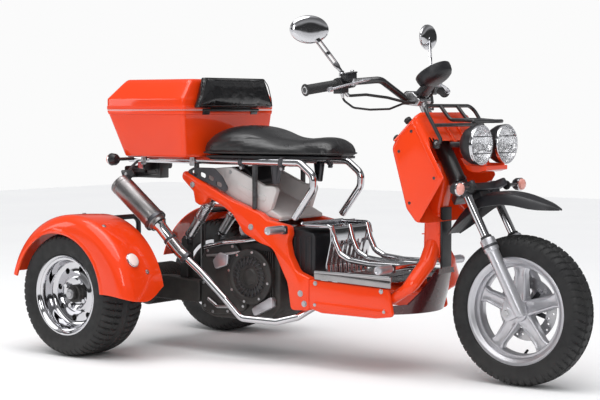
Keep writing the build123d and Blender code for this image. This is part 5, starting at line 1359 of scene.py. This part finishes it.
# the foot of the kick plate is pressed into upright flutes that fade out upwards
flute = 2.2 * np.sin(across / platform["flutes"] * 2 * math.pi) * np.clip((372 - line[:, 2]) / 30, 0,
    1)[:, None]
grid = np.stack([line[:, :1] + flute, np.repeat(across[None], len(line), 0),
    np.repeat(line[:, 2:], len(across), 1)], -1)
chromeDeck = [shellOf(grid, 2.5, chrome)]
for y in platform["tubes"]:
    chromeDeck.append(tube(((856, y, 468), (870, y, 420), (892, y, 378), (930, y, 360), (1010, y, 352),
        (1139, y, 352)), platform["r"], chrome, bend=30, steps=20, arcSteps=10))
chromeDeck.append(crossTube(1141, 352, 165, 9.5, chrome, 20))
for side in (-1, 1):
    # the rack's rolled rims and the cross strap between its tubes
    chromeDeck.append(tube(((748, side * 112, 470), (858, side * 112, 470), (872, side * 104, 436)), 6,
        chrome, bend=20, steps=14))
chromeDeck.append(plate([(1010, 346), (1034, 344), (1034, 340), (1010, 342)], -104, 104, satinSteel,
    radius=1.5, edge=1))
chromeDeck.append(crossTube(746, 472, 113, 6, chrome, 14))
addPiece("luggage_platform", chromeDeck, "chassis", stands=["chrome_platform"], sharp=40)

deck = {"half": 170, "x": (837, 1139), "ribs": 12, "ribHeight": 1.6, "low": 305.6, "rim": (324, 308),
    "across": 170}
edgeY, flatY = np.full(5, deck["half"]), np.linspace(-168, 168, deck["across"])
rim = np.linspace(*deck["rim"], 5)
y = np.concatenate([-edgeY, flatY, edgeY])
z = np.concatenate([rim, np.full(deck["across"], deck["low"]), rim[::-1]])
# rounded ribs run along the sheet, squarer than a sine
wave = np.sin(y / deck["ribs"] * math.pi)
z += deck["ribHeight"] * (np.abs(y) < 150) * np.sign(wave) * np.abs(wave) ** 0.4
x = np.linspace(*deck["x"], 12)
grid = np.stack([np.repeat(x[:, None], len(y), 1), np.repeat(y[None], 12, 0), np.repeat(z[None], 12, 0)], -1)
floorParts = [shellOf(grid[::-1], 2.4, darkChrome)]
for side in (-1, 1):
    floorParts.append(tube(((838, side * 169, 322), (1138, side * 169, 322)), 4.5, satinSteel, steps=14,
        ends=2))
    floorParts.append(plate([(838, 298), (1138, 288), (1138, 312), (838, 320)], side * 168 - 3,
        side * 168 + 1.5, darkChrome, radius=3, edge=1.2))
    for xs in (880, 1000, 1110):
        floorParts += bolt((xs, side * 150, 308), (0, 0, 1), 6, satinSteel)
addPiece("deck_sheet", floorParts, "chassis", stands=["floor_deck"])

sidePanel = {"outline": ((812, 296), (1125, 285), (1144, 198), (1076, 188), (862, 188), (812, 200))}
panel = [plate(sidePanel["outline"], -165, -152, orangePaint, radius=(10, 8, 12, 30, 30, 10), edge=4.5,
    steps=7)]
panel.append(plate([(830, 226), (1120, 220), (1126, 203), (1074, 197), (864, 197), (830, 206)], -166.5,
    -160, orangePaint, radius=10, edge=2.5))
for px, pz in ((1098, 276), (1110, 212), (838, 284), (838, 214)):
    panel += bolt((px, -165.4, pz), (0, -1, 0), 6, satinSteel)
addPiece("lower_side_panels", bothSides(panel), "chassis", stands=["side_panels"])
pegs, pegTip = [], 250
for px, root, pz in ((1141, 165.3, 352), (705, 156.3, 454)):
    # a ribbed peg with a waist, an end cap and a hinge fork
    reach = pegTip - root
    profile = [(0, 0), (0, 9), (10, 9), (12, 13.6)]
    profile += [(a, 14 if k % 2 else 12.2) for k, a in enumerate(np.linspace(14, reach - 8, 15))]
    profile += [(reach - 6, 14), (reach - 1.5, 13), (reach, 9), (reach - 4, 6), (reach - 4, 0)]
    pegs.append(turned(profile, (px, -root, pz), (0, -1, 0), castSilver, 32))
    pegs.append(plate(rect(px - 12, pz - 16, px + 12, pz + 12), -root - 14, -root + 2, darkSteel,
                      radius=6, edge=1.5))
addPiece("peg_barrels", bothSides(pegs), "chassis", stands=["foot_pegs"], sharp=50)
print("platform and deck ready")

# front frame: the downtube's housing with seams, head tube, floor rails that sweep up to it
frontFrame = {"tube": ((1163, 372), (1231, 372), (1231, 540), (1250, 622), (1215, 720), (1170, 640)),
    "half": 30, "railY": 134.7}
axisFoot, rake = np.array((1286, 0, 610.0)), math.radians(28.5)
up = np.array((-math.sin(rake), 0, math.cos(rake)))
ahead = np.array((math.cos(rake), 0, math.sin(rake)))


def steered(forward, left, rise):
    return axisFoot + ahead * forward + np.array((0, left, 0)) + up * rise


core = [plate(frontFrame["tube"], -frontFrame["half"], frontFrame["half"], orangePaint,
    radius=(20, 24, 60, 30, 20, 60), edge=14, steps=7)]
for z in (382, 452, 520):
    # seams between the housing's sections
    core.append(plate(rect(1161, z, 1232, z + 3), -29, 29, orangePaint, radius=1, edge=1, steps=2))
core.append(turned(((12, 15.4), (12, 29), (20, 30), (26, 27), (216, 27), (222, 30), (233, 30), (235, 28),
    (235, 15.4), (12, 15.4)), axisFoot, up, blackPaint, 40))
core.append(crossTube(1172, 764, 150, 8, blackPaint))
for side in (-1, 1):
    railY = side * frontFrame["railY"]
    route = [(806, railY, 244), (1110, railY, 244), (1182, side * 128, 292), (1203, side * 62, 362),
        (1197, side * 14, 420)]
    core.append(tube(route, (15.7, 15.7, 22, 26, 27), orangePaint, bend=46, steps=24, arcSteps=12))
    for px in (875, 1085):
        core.append(tube(((px, railY, 250), (px, railY, 303.6)), 7, blackPaint, steps=14))
addPiece("front_frame_tubes", core, "chassis", stands=["front_frame"], sharp=40)

# front cover: side and middle outlines blended across its width, hollowed, with a bead and two ribs
frontCover = {"side": ((1153, 771), (1220, 834), (1231, 806), (1323, 641), (1227, 489), (1184, 541),
    (1129, 730)), "middle": ((1150, 776), (1216, 846), (1240, 815), (1362, 648), (1240, 489), (1184, 541),
    (1129, 730)), "radius": (12, 8, 14, 12, 16, 40, 30), "half": 160, "flat": 120, "edge": 12, "wall": 4}


def coverRows(size, inset, half, edge, spread=0.0):
    # rings across the width; the last rings shrink on a quarter circle so that the rim is rounded
    side, middle = np.array(size["side"], float), np.array(size["middle"], float)
    for outline in (side, middle):
        # the open face is pushed out beyond the shell when this hollows it
        outline[3:5] += spread * np.array((0.79, -0.61)) * 0.8
    turns = np.linspace(0, math.pi / 2, 5)
    ys = np.concatenate([[half], half - edge * (1 - np.cos(turns[1:])),
        np.linspace(half - edge, size["flat"], 4)[1:], [60, 0]])
    insets = np.concatenate([[edge], edge * (1 - np.sin(turns[1:])), np.zeros(5)])
    rings = []
    for y, shrink in zip(ys, insets):
        share = np.clip((size["half"] - y) / (size["half"] - size["flat"]), 0, 1)
        rings.append(sidewise(cornered(side + (middle - side) * share, size["radius"], inset + shrink, 6),
            -y))
    rings += [ring * [1, -1, 1] for ring in rings[:-1][::-1]]
    return np.array(rings)


cover = addPiece("front_cover_shell", [sheetOf(coverRows(frontCover, 0, 160, 12), orangePaint,
    wrapColumns=True, caps=True)], "chassis", stands=["front_cover"], sharp=50)
carve(cover, [sheetOf(coverRows(frontCover, 4, 156, 10, 60), blackPlastic, wrapColumns=True, caps=True)])
carve(cover, [turned(collar(150, 330, 0, 35), axisFoot, up, orangePaint, 48)])
trim = []
for side in (-1, 1):
    # the bead runs up the rear edge, over the corner and down beside the front edge
    trim.append(tube([(x, side * 159.3, z)
        for x, z in ((1142, 752), (1206, 811), (1222, 793), (1300, 655), (1296, 636))], 2.8, orangePaint,
        bend=9, steps=10, ends=1))
    for x, z in ((1206, 783), (1290, 640), (1160, 720), (1200, 560)):
        trim.append(turned(((0, 0), (0, 5), (1.6, 4.6), (2.4, 2.4), (1.4, 2), (1.4, 0)),
            (x, side * 159.6, z), (0, side, 0), darkSteel, 20))
    for a, b in (((1248, 810), (1292, 746)), ((1306, 726), (1338, 680))):
        # raised ribs pressed into the front face
        trim.append(tube([(a[0], side * 34, a[1]), (b[0], side * 34, b[1])], 7, orangePaint, steps=16,
            ends=5, flat=0.6))
    for (x, z), aim in (((1176, 806), (-0.69, 0, 0.72)), ((1137, 752), (-0.86, 0, 0.5))):
        # rubber-capped knobs on the rider's side
        trim.append(turned(((-2, 0), (-2, 9), (8, 9), (9, 12), (19, 12), (21, 10), (21, 0)),
            (x, side * 118, z), aim, softRubber, 24))
addPiece("front_cover_trim", trim, "chassis")
dressed("nose_panel", orangePaint, "chassis", bevel=5, name="nose_panel_shell",
    segments=3)
nose = [tube([(1350, y, 680), (1412, y, 679)], 4, orangePaint, steps=12, ends=2) for y in (-58, 58)]
addPiece("nose_ridges", nose, "chassis")

# headlights: bowl, chromed bezel, faceted reflector with a bulb, and a clear domed lens
headlight = {"x": 1410, "y": 77, "z": 742, "bowlR": 55.5, "bowlDeep": 44, "facets": 24}
shells, lenses = [], []
for side in (-1, 1):
    at = np.array((headlight["x"], side * headlight["y"], headlight["z"]), float)
    shells.append(turned(((-62, 0), (-62, 20), (-57, 38), (-46, 51), (-30, 59.5), (-10, 62.5), (-2, 63),
        (0, 62), (0, 57), (-6, 55), (-50, 20), (-50, 0)), at, (1, 0, 0), blackPlastic, 64))
    shells.append(turned(((-8, 62.6), (-8, 63), (-1, 63), (1.5, 61.5), (1.5, 57), (-3, 55.5), (-8, 62.6)),
        at, (1, 0, 0), chrome, 72))
    # the reflector: a paraboloid whose radius ripples into facets
    share = np.linspace(0.12, 1, 22)[:, None]
    turn = (np.arange(96) * math.pi / 48)[None]
    radius = headlight["bowlR"] * share
    ripple = 1.3 * np.abs(np.sin(turn * headlight["facets"] / 2)) * share + 0.9 * np.sin(share * 26)
    depth = -headlight["bowlDeep"] * (1 - share ** 2) - 3 + ripple
    bowl = at + np.stack([depth, radius * np.sin(turn), radius * np.cos(turn)], -1)
    shells.append(sheetOf(bowl[::-1], reflector, wrapColumns=True))
    shells.append(turned(((-46, 0), (-46, 9), (-34, 9), (-30, 7), (-12, 6.5), (-8, 4), (-7, 0)), at,
        (1, 0, 0), satinSteel, 24))
    shells.append(turned(((-14, 0), (-14, 15), (-11, 15.5), (-9, 14), (-9, 0)), at, (1, 0, 0), reflector, 32))
    shells.append(tube((at + (-110, 0, 0), at + (-40, 0, 0)), 9, blackPaint, steps=16))
    for level in (-0.42, 0.42):
        # guard bars in front of the lens
        w = 58 * math.cos(math.asin(level))
        shells.append(tube((at + (1, -w, level * 62), at + (16, -w * 0.4, level * 62),
            at + (16, w * 0.4, level * 62), at + (1, w, level * 62)), 1.5, blackPaint, bend=30, steps=8))
    dome = [(math.sin(k) * 16.5 + 1.2, 59.5 * math.cos(k)) for k in np.linspace(0, math.pi / 2, 9)[:-1]]
    lenses.append(turned([(-1, 0), (-1, 59)] + dome + [(17.7, 0)], at, (1, 0, 0), clearLens, 64))
addPiece("headlight_bowls", shells, "chassis", stands=["headlight_shells"])
addPiece("headlight_glass", lenses, "chassis", stands=["headlight_lenses"])

# front rack and splash guard
rackR = 6
hoop = [(1283.5, -140, 742), (1309, -146, 752), (1276, -146, 806), (1240, -146, 862)]
hoop += [(x, -y, z) for x, y, z in hoop[::-1]]
rackBars = [tube(hoop, rackR, blackPaint, bend=36, steps=16, arcSteps=9),
    crossTube(1278, 802, 145, rackR, blackPaint), crossTube(1384, 814, 90, rackR, blackPaint, ends=2)]
for y in (-50, 50):
    route = ((1243, y, 861), (1280, y, 818), (1330, y, 818), (1383, y, 814))
    rackBars.append(tube(route, rackR, blackPaint, bend=24, steps=16))
for side in (-1, 1):
    rackBars.append(plate([(1272, 730), (1296, 730), (1302, 754), (1278, 760)], side * 141 - 2,
        side * 141 + 2, blackPaint, radius=6, edge=1))
    rackBars += bolt((1288, side * 143, 746), (0, side, 0), 6, satinSteel)
addPiece("front_rack_bars", rackBars, "chassis", stands=["front_rack"])
# the splash guard takes the dark maroon painted reflection of the orange body
guard = dressed("splash_guard", paintedReflectionBelly, "chassis", bevel=1.6, name="splash_guard_sheet",
    angle=50)
guard.modifiers.clear()
carve(guard, bothSides([plate(rect(1222, 346, 1247, 550), 27, 60, blackPlastic)]))
addPiece("downtube_strip", [plate(rect(1230.6, 350, 1238.2, 541), -28, 28, blackPlastic, radius=1.5, edge=1)],
         "chassis")

# steering: yoke, stem, stanchions, clamp; legs with caps and lugs
forkY, forkAhead = 82, 55
yoke = np.array([(-32, -30), (-32, 30), (30, 104), (104, 104), (104, 88), (78, 66), (78, -66), (104, -88),
    (104, -104), (30, -104)])


def yokeLayout(uv, rise):
    return axisFoot + uv[:, :1] * ahead + uv[:, 1:] * np.array((0, 1, 0)) + up * rise


steer = [plate(yoke, -52, -26, darkSteel, yokeLayout, (10, 10, 24, 8, 8, 14, 14, 8, 8, 24), 5),
         turned(collar(-27, 300, 0, 15), axisFoot, up, satinSteel, 32),
         turned(((-26, 0), (-26, 26), (8, 27), (11, 24), (11, 0)), axisFoot, up, darkSteel, 32)]
clamp = [plate(((1092, 866), (1148, 860), (1158, 880), (1128, 906), (1092, 906)), -35, 35, satinSteel,
    radius=(8, 8, 8, 8, 14), edge=5)]
for y in (-20, 20):
    clamp += bolt((1100, y, 906), (0, 0, 1), 6, darkSteel)
    clamp.append(plate(rect(1088, 866, 1132, 909), y - 9, y + 9, darkSteel, radius=12, edge=3))
for side in (-1, 1):
    foot = steered(forkAhead, side * forkY, 0)
    steer.append(turned(collar(-204.7, -51, 0, 13.5), foot, up, chrome, 32))
    steer.append(turned(((-60, 13), (-60, 19), (-54, 21), (-26, 21), (-22, 18), (-22, 0)), foot, up,
        darkSteel, 32))
    steer += bolt(steered(forkAhead, side * forkY, -22), up, 10, satinSteel, washer=False)
addPiece("steering_yoke", steer + clamp, "steering", stands=["steering_stem"])

axlePoint = np.array((frontX, 0, frontR), float)
axleUp, axleAhead = float((axlePoint - axisFoot) @ up), float((axlePoint - axisFoot) @ ahead)
legs = []
for side in (-1, 1):
    foot = steered(forkAhead, side * forkY, 0)
    legs.append(turned(((axleUp - 30, 0), (axleUp - 30, 12), (axleUp - 24, 18.5), (axleUp - 10, 20),
        (-300, 19.6), (-262, 20), (-250, 20.5), (-246, 24), (-212, 24), (-207, 22.5), (-205, 18),
        (-205, 13.6), (-205, 0)), foot, up, castSilver, 40))
    legs.append(turned(((-206, 13), (-206, 18.5), (-198, 17), (-196, 13)), foot, up, softRubber, 32))
    lug = [(axleAhead - 20, axleUp - 14), (axleAhead - 8, axleUp - 24), (forkAhead + 4, axleUp - 26),
        (forkAhead + 10, axleUp + 40), (forkAhead - 14, axleUp + 52), (axleAhead - 14, axleUp + 16)]
    corners = np.array([steered(a, 0, u) for a, u in lug])[:, [0, 2]]
    legs.append(plate(corners, side * forkY - 12, side * forkY + 12, castSilver, radius=12, edge=4))
    legs.append(turned(((0, 0), (0, 20), (10, 20), (13, 17), (13, 0)), axlePoint + (0, side * forkY, 0),
        (0, side, 0), castSilver, 32))
    legs += bolt(axlePoint + (0, side * 94, 0), (0, side, 0), 10, satinSteel, head=0.5)
    legs.append(turned(((-236, 24), (-236, 25), (-232, 25.4), (-228, 25), (-228, 24), (-236, 24)), foot, up,
        darkSteel, 32))
legs.append(tube((axlePoint - (0, 96, 0), axlePoint + (0, 96, 0)), 8, satinSteel, steps=20))
# the caliper straddles the disc on the left leg
caliper = np.array([steered(a, 0, u) for a, u in ((forkAhead - 52, axleUp + 62),
    (forkAhead - 6, axleUp + 50), (forkAhead - 4, axleUp + 116),
    (forkAhead - 44, axleUp + 112))])[:, [0, 2]]
legs.append(plate(caliper, 46, 66, darkSteel, radius=12, edge=4))
addPiece("fork_leg_castings", legs, "steering", stands=["fork_legs"])

# front fender: a crowned blade lofted along its length, its wall turned down at the edges
frontFender = {"x": (1264, 1300, 1340, 1388, 1440, 1500, 1570, 1610, 1640),
               "top": (461, 506, 553, 585, 596, 597, 580, 566, 552),
               "half": (38, 55, 58, 59, 60, 60, 46, 30, 7), "drop": (4, 22, 40, 40, 38, 36, 30, 18, 4)}
x = np.linspace(frontFender["x"][0], frontFender["x"][-1], 60)
crownZ = smoothCurve(frontFender["x"], frontFender["top"], x)
halfWide = smoothCurve(frontFender["x"], frontFender["half"], x)
drop = smoothCurve(frontFender["x"], frontFender["drop"], x)
s = np.linspace(-1, 1, 41)
rise = -0.30 * np.abs(s) ** 2.2 - 0.70 * np.clip((np.abs(s) - 0.72) / 0.28, 0, 1) ** 1.5
ridge = 2.4 * np.exp(-(s / 0.10) ** 2) - 1.4 * np.exp(-((np.abs(s) - 0.5) / 0.07) ** 2)
blade = np.stack([np.repeat(x[:, None], 41, 1), -halfWide[:, None] * np.sign(s) * np.abs(s) ** 0.85,
    crownZ[:, None] - 2.4 + drop[:, None] * rise[None] + ridge[None] * (drop / 40)[:, None]], -1)
blade[:, :, 0] -= 0.25 * (drop[:, None] * np.clip(np.abs(s) - 0.7, 0, 1)[None])
fender = [shellOf(blade, 3, blackPlastic)]
fender.append(plate(np.array(rect(37, -28, 73, 28)), -88, -52.3, blackPlastic, yokeLayout, 6, 3))
for y in (-20, 20):
    fender += bolt(steered(66, y, -60), ahead, 5, satinSteel)
addPiece("front_fender_blade", fender, "steering", stands=["front_fender"])
print("front body ready")

# handlebar, grips, levers, perches
bar = {"route": ((1108, 50, 886), (1090, 160, 944), (1022, 214, 937), (975, 402, 909.5)), "r": 11,
    "grip": 130, "ribs": 39}
half = list(bar["route"])
barRoute = [(x, -y, z) for x, y, z in half[::-1]] + half
barPath = roundPath(barRoute, 30, 10)
barParts = [tube(barPath, bar["r"], blackPaint, steps=20)]
gripDir = unit(np.array(half[3], float) - np.array(half[2], float))
gripOut = np.array(half[3], float)
gripRoot = gripOut - gripDir * bar["grip"]
levers, perches = [], []
# the grip's flange, its ribs, its end flange, and back to the start
profile = [(0, 11.3), (0, 19), (2, 19.8), (4, 18), (5, 15)]
profile += [(7 + k * 3.1, 15.9 if k % 2 else 14.4) for k in range(bar["ribs"])]
profile += [(125, 16), (126, 19), (128, 19), (129, 16), (129, 11.3), (0, 11.3)]
gripParts = [turned(profile, gripRoot, gripDir, softRubber, 36)]
# the bar end: a steel cap ring left open at its bore
barParts.append(turned(((-3, 8), (-3, 12.5), (0, 12.5), (0.6, 11), (0.6, 8), (-3, 8)), gripOut, gripDir,
    satinSteel, 32))
perchAt = gripRoot - gripDir * 38
perches.append(turned(((0, 11.3), (0, 19), (3, 21), (16, 21), (17, 20.4), (18, 21), (33, 21), (36, 18),
    (36, 11.3), (0, 11.3)), perchAt, gripDir, blackPlastic, 36))
perches.append(turned(((-30, 11.3), (-30, 16), (-27, 18), (-10, 18), (-7, 15), (-7, 11.3), (-30, 11.3)),
    perchAt, gripDir, blackPlastic, 32))
# fluid reservoir on top, switch block in front, a button and a rocker on its face
forward = unit(np.cross(gripDir, (0, 0, 1)))
forward = forward if forward[0] > 0 else -forward
riseDir = np.array((0, 0, 1.0))


def boxAt(centre, axes, size, material, edge=2.5):
    # a box with eased edges set on three directions
    centre, axes = np.asarray(centre, float), [unit(a) for a in axes]
    w, d, t = (v / 2 for v in size)
    return plate(np.array(rect(-w, -d, w, d)), -t, t, material, lambda uv,
        h: centre + uv[:, :1] * axes[0] + uv[:, 1:] * axes[1] + axes[2] * h, 5, edge)


gripFrame = (gripDir, forward, riseDir)
perches.append(boxAt(perchAt + gripDir * 8 + forward * 22 + riseDir * 19, gripFrame, (44, 32, 22),
    blackPlastic))
perches.append(boxAt(perchAt + gripDir * 8 + forward * 22 + riseDir * 31.5, gripFrame, (47, 35, 4),
    blackPlastic, 1.2))
for a, b in ((-14, 12), (30, 12), (-14, 32), (30, 32)):
    perches.append(turned(((0, 0), (0, 2.6), (1.4, 2.4), (1.4, 0)),
        perchAt + gripDir * a + forward * b + riseDir * 33, riseDir, satinSteel, 12))
perches.append(boxAt(perchAt + gripDir * 18 - riseDir * 12 - forward * 4, gripFrame, (34, 40, 34),
    blackPlastic))
perches.append(boxAt(perchAt + gripDir * 14 - riseDir * 4 - forward * 24, gripFrame, (14, 5, 9), redLens, 1))
perches.append(boxAt(perchAt + gripDir * 14 - riseDir * 19 - forward * 24, gripFrame, (16, 5, 8),
    greyPlastic, 1))
perches.append(turned(((0, 0), (0, 4), (14, 4), (16, 6), (26, 6), (28, 4), (28, 0)),
    perchAt - gripDir * 18 + riseDir * 12, unit((0.3, 0, 1)), satinSteel, 20))
pivot = perchAt + forward * 34 - gripDir * 2 + riseDir * 2
lever = roundPath([pivot - gripDir * 70, pivot - gripDir * 30 + forward * 4,
    pivot + gripDir * 40 + forward * 8 - riseDir * 4, pivot + gripDir * 96 - riseDir * 10], 40, 10)
levers.append(tube(lever, (7, 7, 6.5, 6, 5.5, 5.5, 6), castSilver, steps=18, flat=0.62, ends=1))
levers.append(turned(((-7, 0), (-7, 7), (-6, 8), (6, 8), (7, 7), (7, 0)), lever[-1], gripDir, castSilver, 24))
levers.append(turned(((-11, 0), (-11, 8), (11, 8), (11, 0)), pivot, riseDir, satinSteel, 24))
levers.append(boxAt(perchAt + forward * 26 - gripDir * 4, gripFrame, (24, 30, 14), castSilver))
addPiece("bar_tube", barParts + [mirrorY(barParts[1])], "steering", stands=["handlebar"])
addPiece("bar_grips", bothSides(gripParts), "steering", stands=["grips"], sharp=50)
addPiece("lever_clamps", bothSides(perches), "steering", stands=["lever_perches"])
addPiece("brake_levers", bothSides(levers), "steering")

# gauge pod: a shallow bowl with a rolled rim, a dial with ticks and a needle under glass
gauge = {"x": 1202, "z": 938, "tilt": 32, "ticks": 33, "sweep": 260, "reading": -2.1}
tilt = math.radians(gauge["tilt"])
look = np.array((-math.sin(tilt), 0, math.cos(tilt)))
centre = np.array((gauge["x"], 0, gauge["z"]), float)
u, v = crossPair(look)
pod = [turned(((0, 0), (0, 28), (3, 42), (9, 52), (18, 57.5), (30, 60), (40, 60), (42, 58), (42, 53.5),
    (37, 52.5), (36, 0)), centre, look, blackPlastic, 64),
    turned(collar(35, 36.4, 0, 52), centre, look, dialFace, 48)]
for k in range(gauge["ticks"]):
    t = math.radians(gauge["sweep"] * (k / (gauge["ticks"] - 1) - 0.5))
    out = math.sin(t) * u + math.cos(t) * v
    tickLength = 8 if k % 4 == 0 else 4
    pod.append(boxAt(centre + look * 36.8 + out * (49 - tickLength / 2), (out, np.cross(look, out), look),
        (tickLength, 1.3, 0.6), whiteLens, 0.2))
needle = math.sin(gauge["reading"]) * u + math.cos(gauge["reading"]) * v
pod.append(boxAt(centre + look * 38 + needle * 16, (needle, np.cross(look, needle), look), (38, 1.8, 1),
    redLens, 0.3))
pod.append(turned(((36, 0), (36, 5), (39, 4.6), (39.6, 0)), centre, look, blackPlastic, 24))
pod.append(plate(((1128.5, 906.5), (1150, 890), (1196, 944), (1186, 960)), -20, 20, darkSteel, radius=5,
    edge=2))
for side in (-1, 1):
    pod.append(tube(((1150, side * 16, 900), (1166, side * 26, 922), (1184, side * 22, 950)), 5, blackPaint,
        bend=20, steps=12))
    pod.append(tube(((1132, side * 30, 876), (1160, side * 34, 902), (1192, side * 12, 956)), 3.2,
        softRubber, bend=24, steps=10))
addPiece("gauge_housing", pod, "steering", stands=["gauge_pod"])
addPiece("gauge_glass", [turned(((39.5, 0), (39.5, 53), (40.5, 53), (41.6, 36), (42, 0)), centre, look,
    clearLens, 48)], "steering")

# mirrors: oval chromed backs, each turned its own way, with glass and flat slotted stems
mirror = {"centre": (942, 337, 1098), "half": (64, 44), "turns": ((1, 8), (-1, 33)),
    "root": (1011, 257.9, 953.2)}


def mirrorParts(degrees, size):
    # built on the left: an oval dish of shrinking rings, its glass, and its slotted flat arm
    swing = math.radians(degrees)
    away = np.array((math.cos(swing), math.sin(swing), 0))
    wide, tall = np.array((-math.sin(swing), math.cos(swing), 0)), np.array((0, 0, 1.0))
    centre, root = np.array(size["centre"], float), np.array(size["root"], float)
    turn = np.arange(56)[:, None] * math.pi / 28
    oval = np.cos(turn) * wide * size["half"][0] + np.sin(turn) * tall * size["half"][1]
    dish = [centre + away * d + oval * k for d, k in ((1.2, 0.90), (0, 0.93), (0, 0.97), (1.5, 0.995),
        (4, 1), (8, 0.975), (12, 0.88), (14.6, 0.70), (15.8, 0.45), (16, 0.15))]
    pane = [centre + away * d + oval * k for d, k in ((1.3, 0.905), (0.6, 0.9), (0.6, 0.1))]
    hook, base = centre + away * 15 - (0, 8, 10), root + (0, 0, 13)
    reach, run = np.linalg.norm(hook - base), unit(hook - base)
    flat = unit(np.cross(run, away))
    thick = unit(np.cross(run, flat))

    def layout(uv, h):
        return base + uv[:, :1] * run + uv[:, 1:] * flat + h * thick

    def strap(*outline):
        return plate(np.array(outline) * [reach, 1], -3, 3, chrome, layout, 0.8, 0.8, 2)

    # two rails and three lands leave the arm's slots open
    arm = [strap((0, -5), (0.10, -6), (0.16, -9), (0.25, -9), (0.25, 9), (0.16, 9), (0.10, 6), (0, 5)),
        strap((0.44, -9), (0.52, -9), (0.52, 9), (0.44, 9)), strap((0.76, -9), (0.82, -9), (0.92, -6),
        (1, -5), (1, 5), (0.92, 6), (0.82, 9), (0.76, 9)),
        strap((0.2, -9), (0.8, -9), (0.8, -4.4), (0.2, -4.4)),
        strap((0.2, 4.4), (0.8, 4.4), (0.8, 9), (0.2, 9)),
        turned(((0, 0), (0, 9), (10, 9), (12, 7), (18, 7), (18, 0)), root, (0, 0, 1), chrome, 24),
        turned(((-4, 0), (-4, 11), (4, 12), (6, 9), (6, 0)), hook, -away, chrome, 28)]
    return ([sheetOf(np.array(dish), chrome, wrapColumns=True, caps=True)],
            [sheetOf(np.array(pane), mirrorGlass, wrapColumns=True, caps=True)], arm)


sets = [[], [], []]
for side, degrees in mirror["turns"]:
    for group, made in zip(sets, mirrorParts(degrees, mirror)):
        group += made if side > 0 else [mirrorY(m) for m in made]
addPiece("mirror_backs", sets[0], "steering", stands=["mirrors"], sharp=60)
addPiece("mirror_glass", sets[1], "steering")
addPiece("mirror_stems", sets[2], "steering")

# front signals on stalks from the yoke, and the held cables
frontSignal = signalLamp((1392, -188, 611), 20.6, 42, (1, 0, 0), ((1391, -104.3, 611), (1391, -172, 611)),
    amberLens)
frontSignal.append(turned(((0, 6), (0, 13), (4, 15), (12, 11), (14, 6)), (1391, -104.5, 611), (0, -1, 0),
    softRubber, 24))
addPiece("front_signal_lamps", bothSides(frontSignal), "steering", stands=["front_signals"])
cables = {"hose": ((1011, -257.9, 908.1), (1014, -254, 880), (1036, -230, 856), (1066, -184, 850),
    (1096, -118, 852), (1112, -66, 869), (1112, -35.3, 869)), "cable": ((1013.9, -246.4, 909.3),
    (1021, -238, 893), (1056, -190, 897), (1096, -130, 888), (1134, -74, 872), (1134, -35.3, 872))}
cableRadii = (("hose", 3.5), ("cable", 4.5))
lines = [tube(cables[name], radius, softRubber, bend=24, steps=12) for name, radius in cableRadii]
for name, radius in cableRadii:
    first, second = np.array(cables[name][0], float), np.array(cables[name][1], float)
    lines.append(turned(((0, 0), (0, radius + 2.6), (16, radius + 1.8), (22, radius), (22, 0)), first,
        second - first, satinSteel, 20))
addPiece("held_cables", bothSides(lines), "steering", stands=["control_cables"])
print("steering ready")


# floor, then the triangle count of the built pieces
floorMaterial = finish("studioFloor", (0.94, 0.94, 0.94), 0.9, second=(0.92, 0.92, 0.925), mottleScale=1.5,
    Specular_IOR_Level=0.0)
floor = bpy.data.meshes.new("floor")
floor.from_pydata([(-9, -9, 0), (9, -9, 0), (9, 9, 0), (-9, 9, 0)], [], [(0, 1, 2, 3)])
floor.materials.append(floorMaterial)
floorPlane = bpy.data.objects.new("floor", floor)
scene.collection.objects.link(floorPlane)

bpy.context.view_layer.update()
print("triangles", sum(counts.values()), "largest", max(counts, key=counts.get), max(counts.values()))
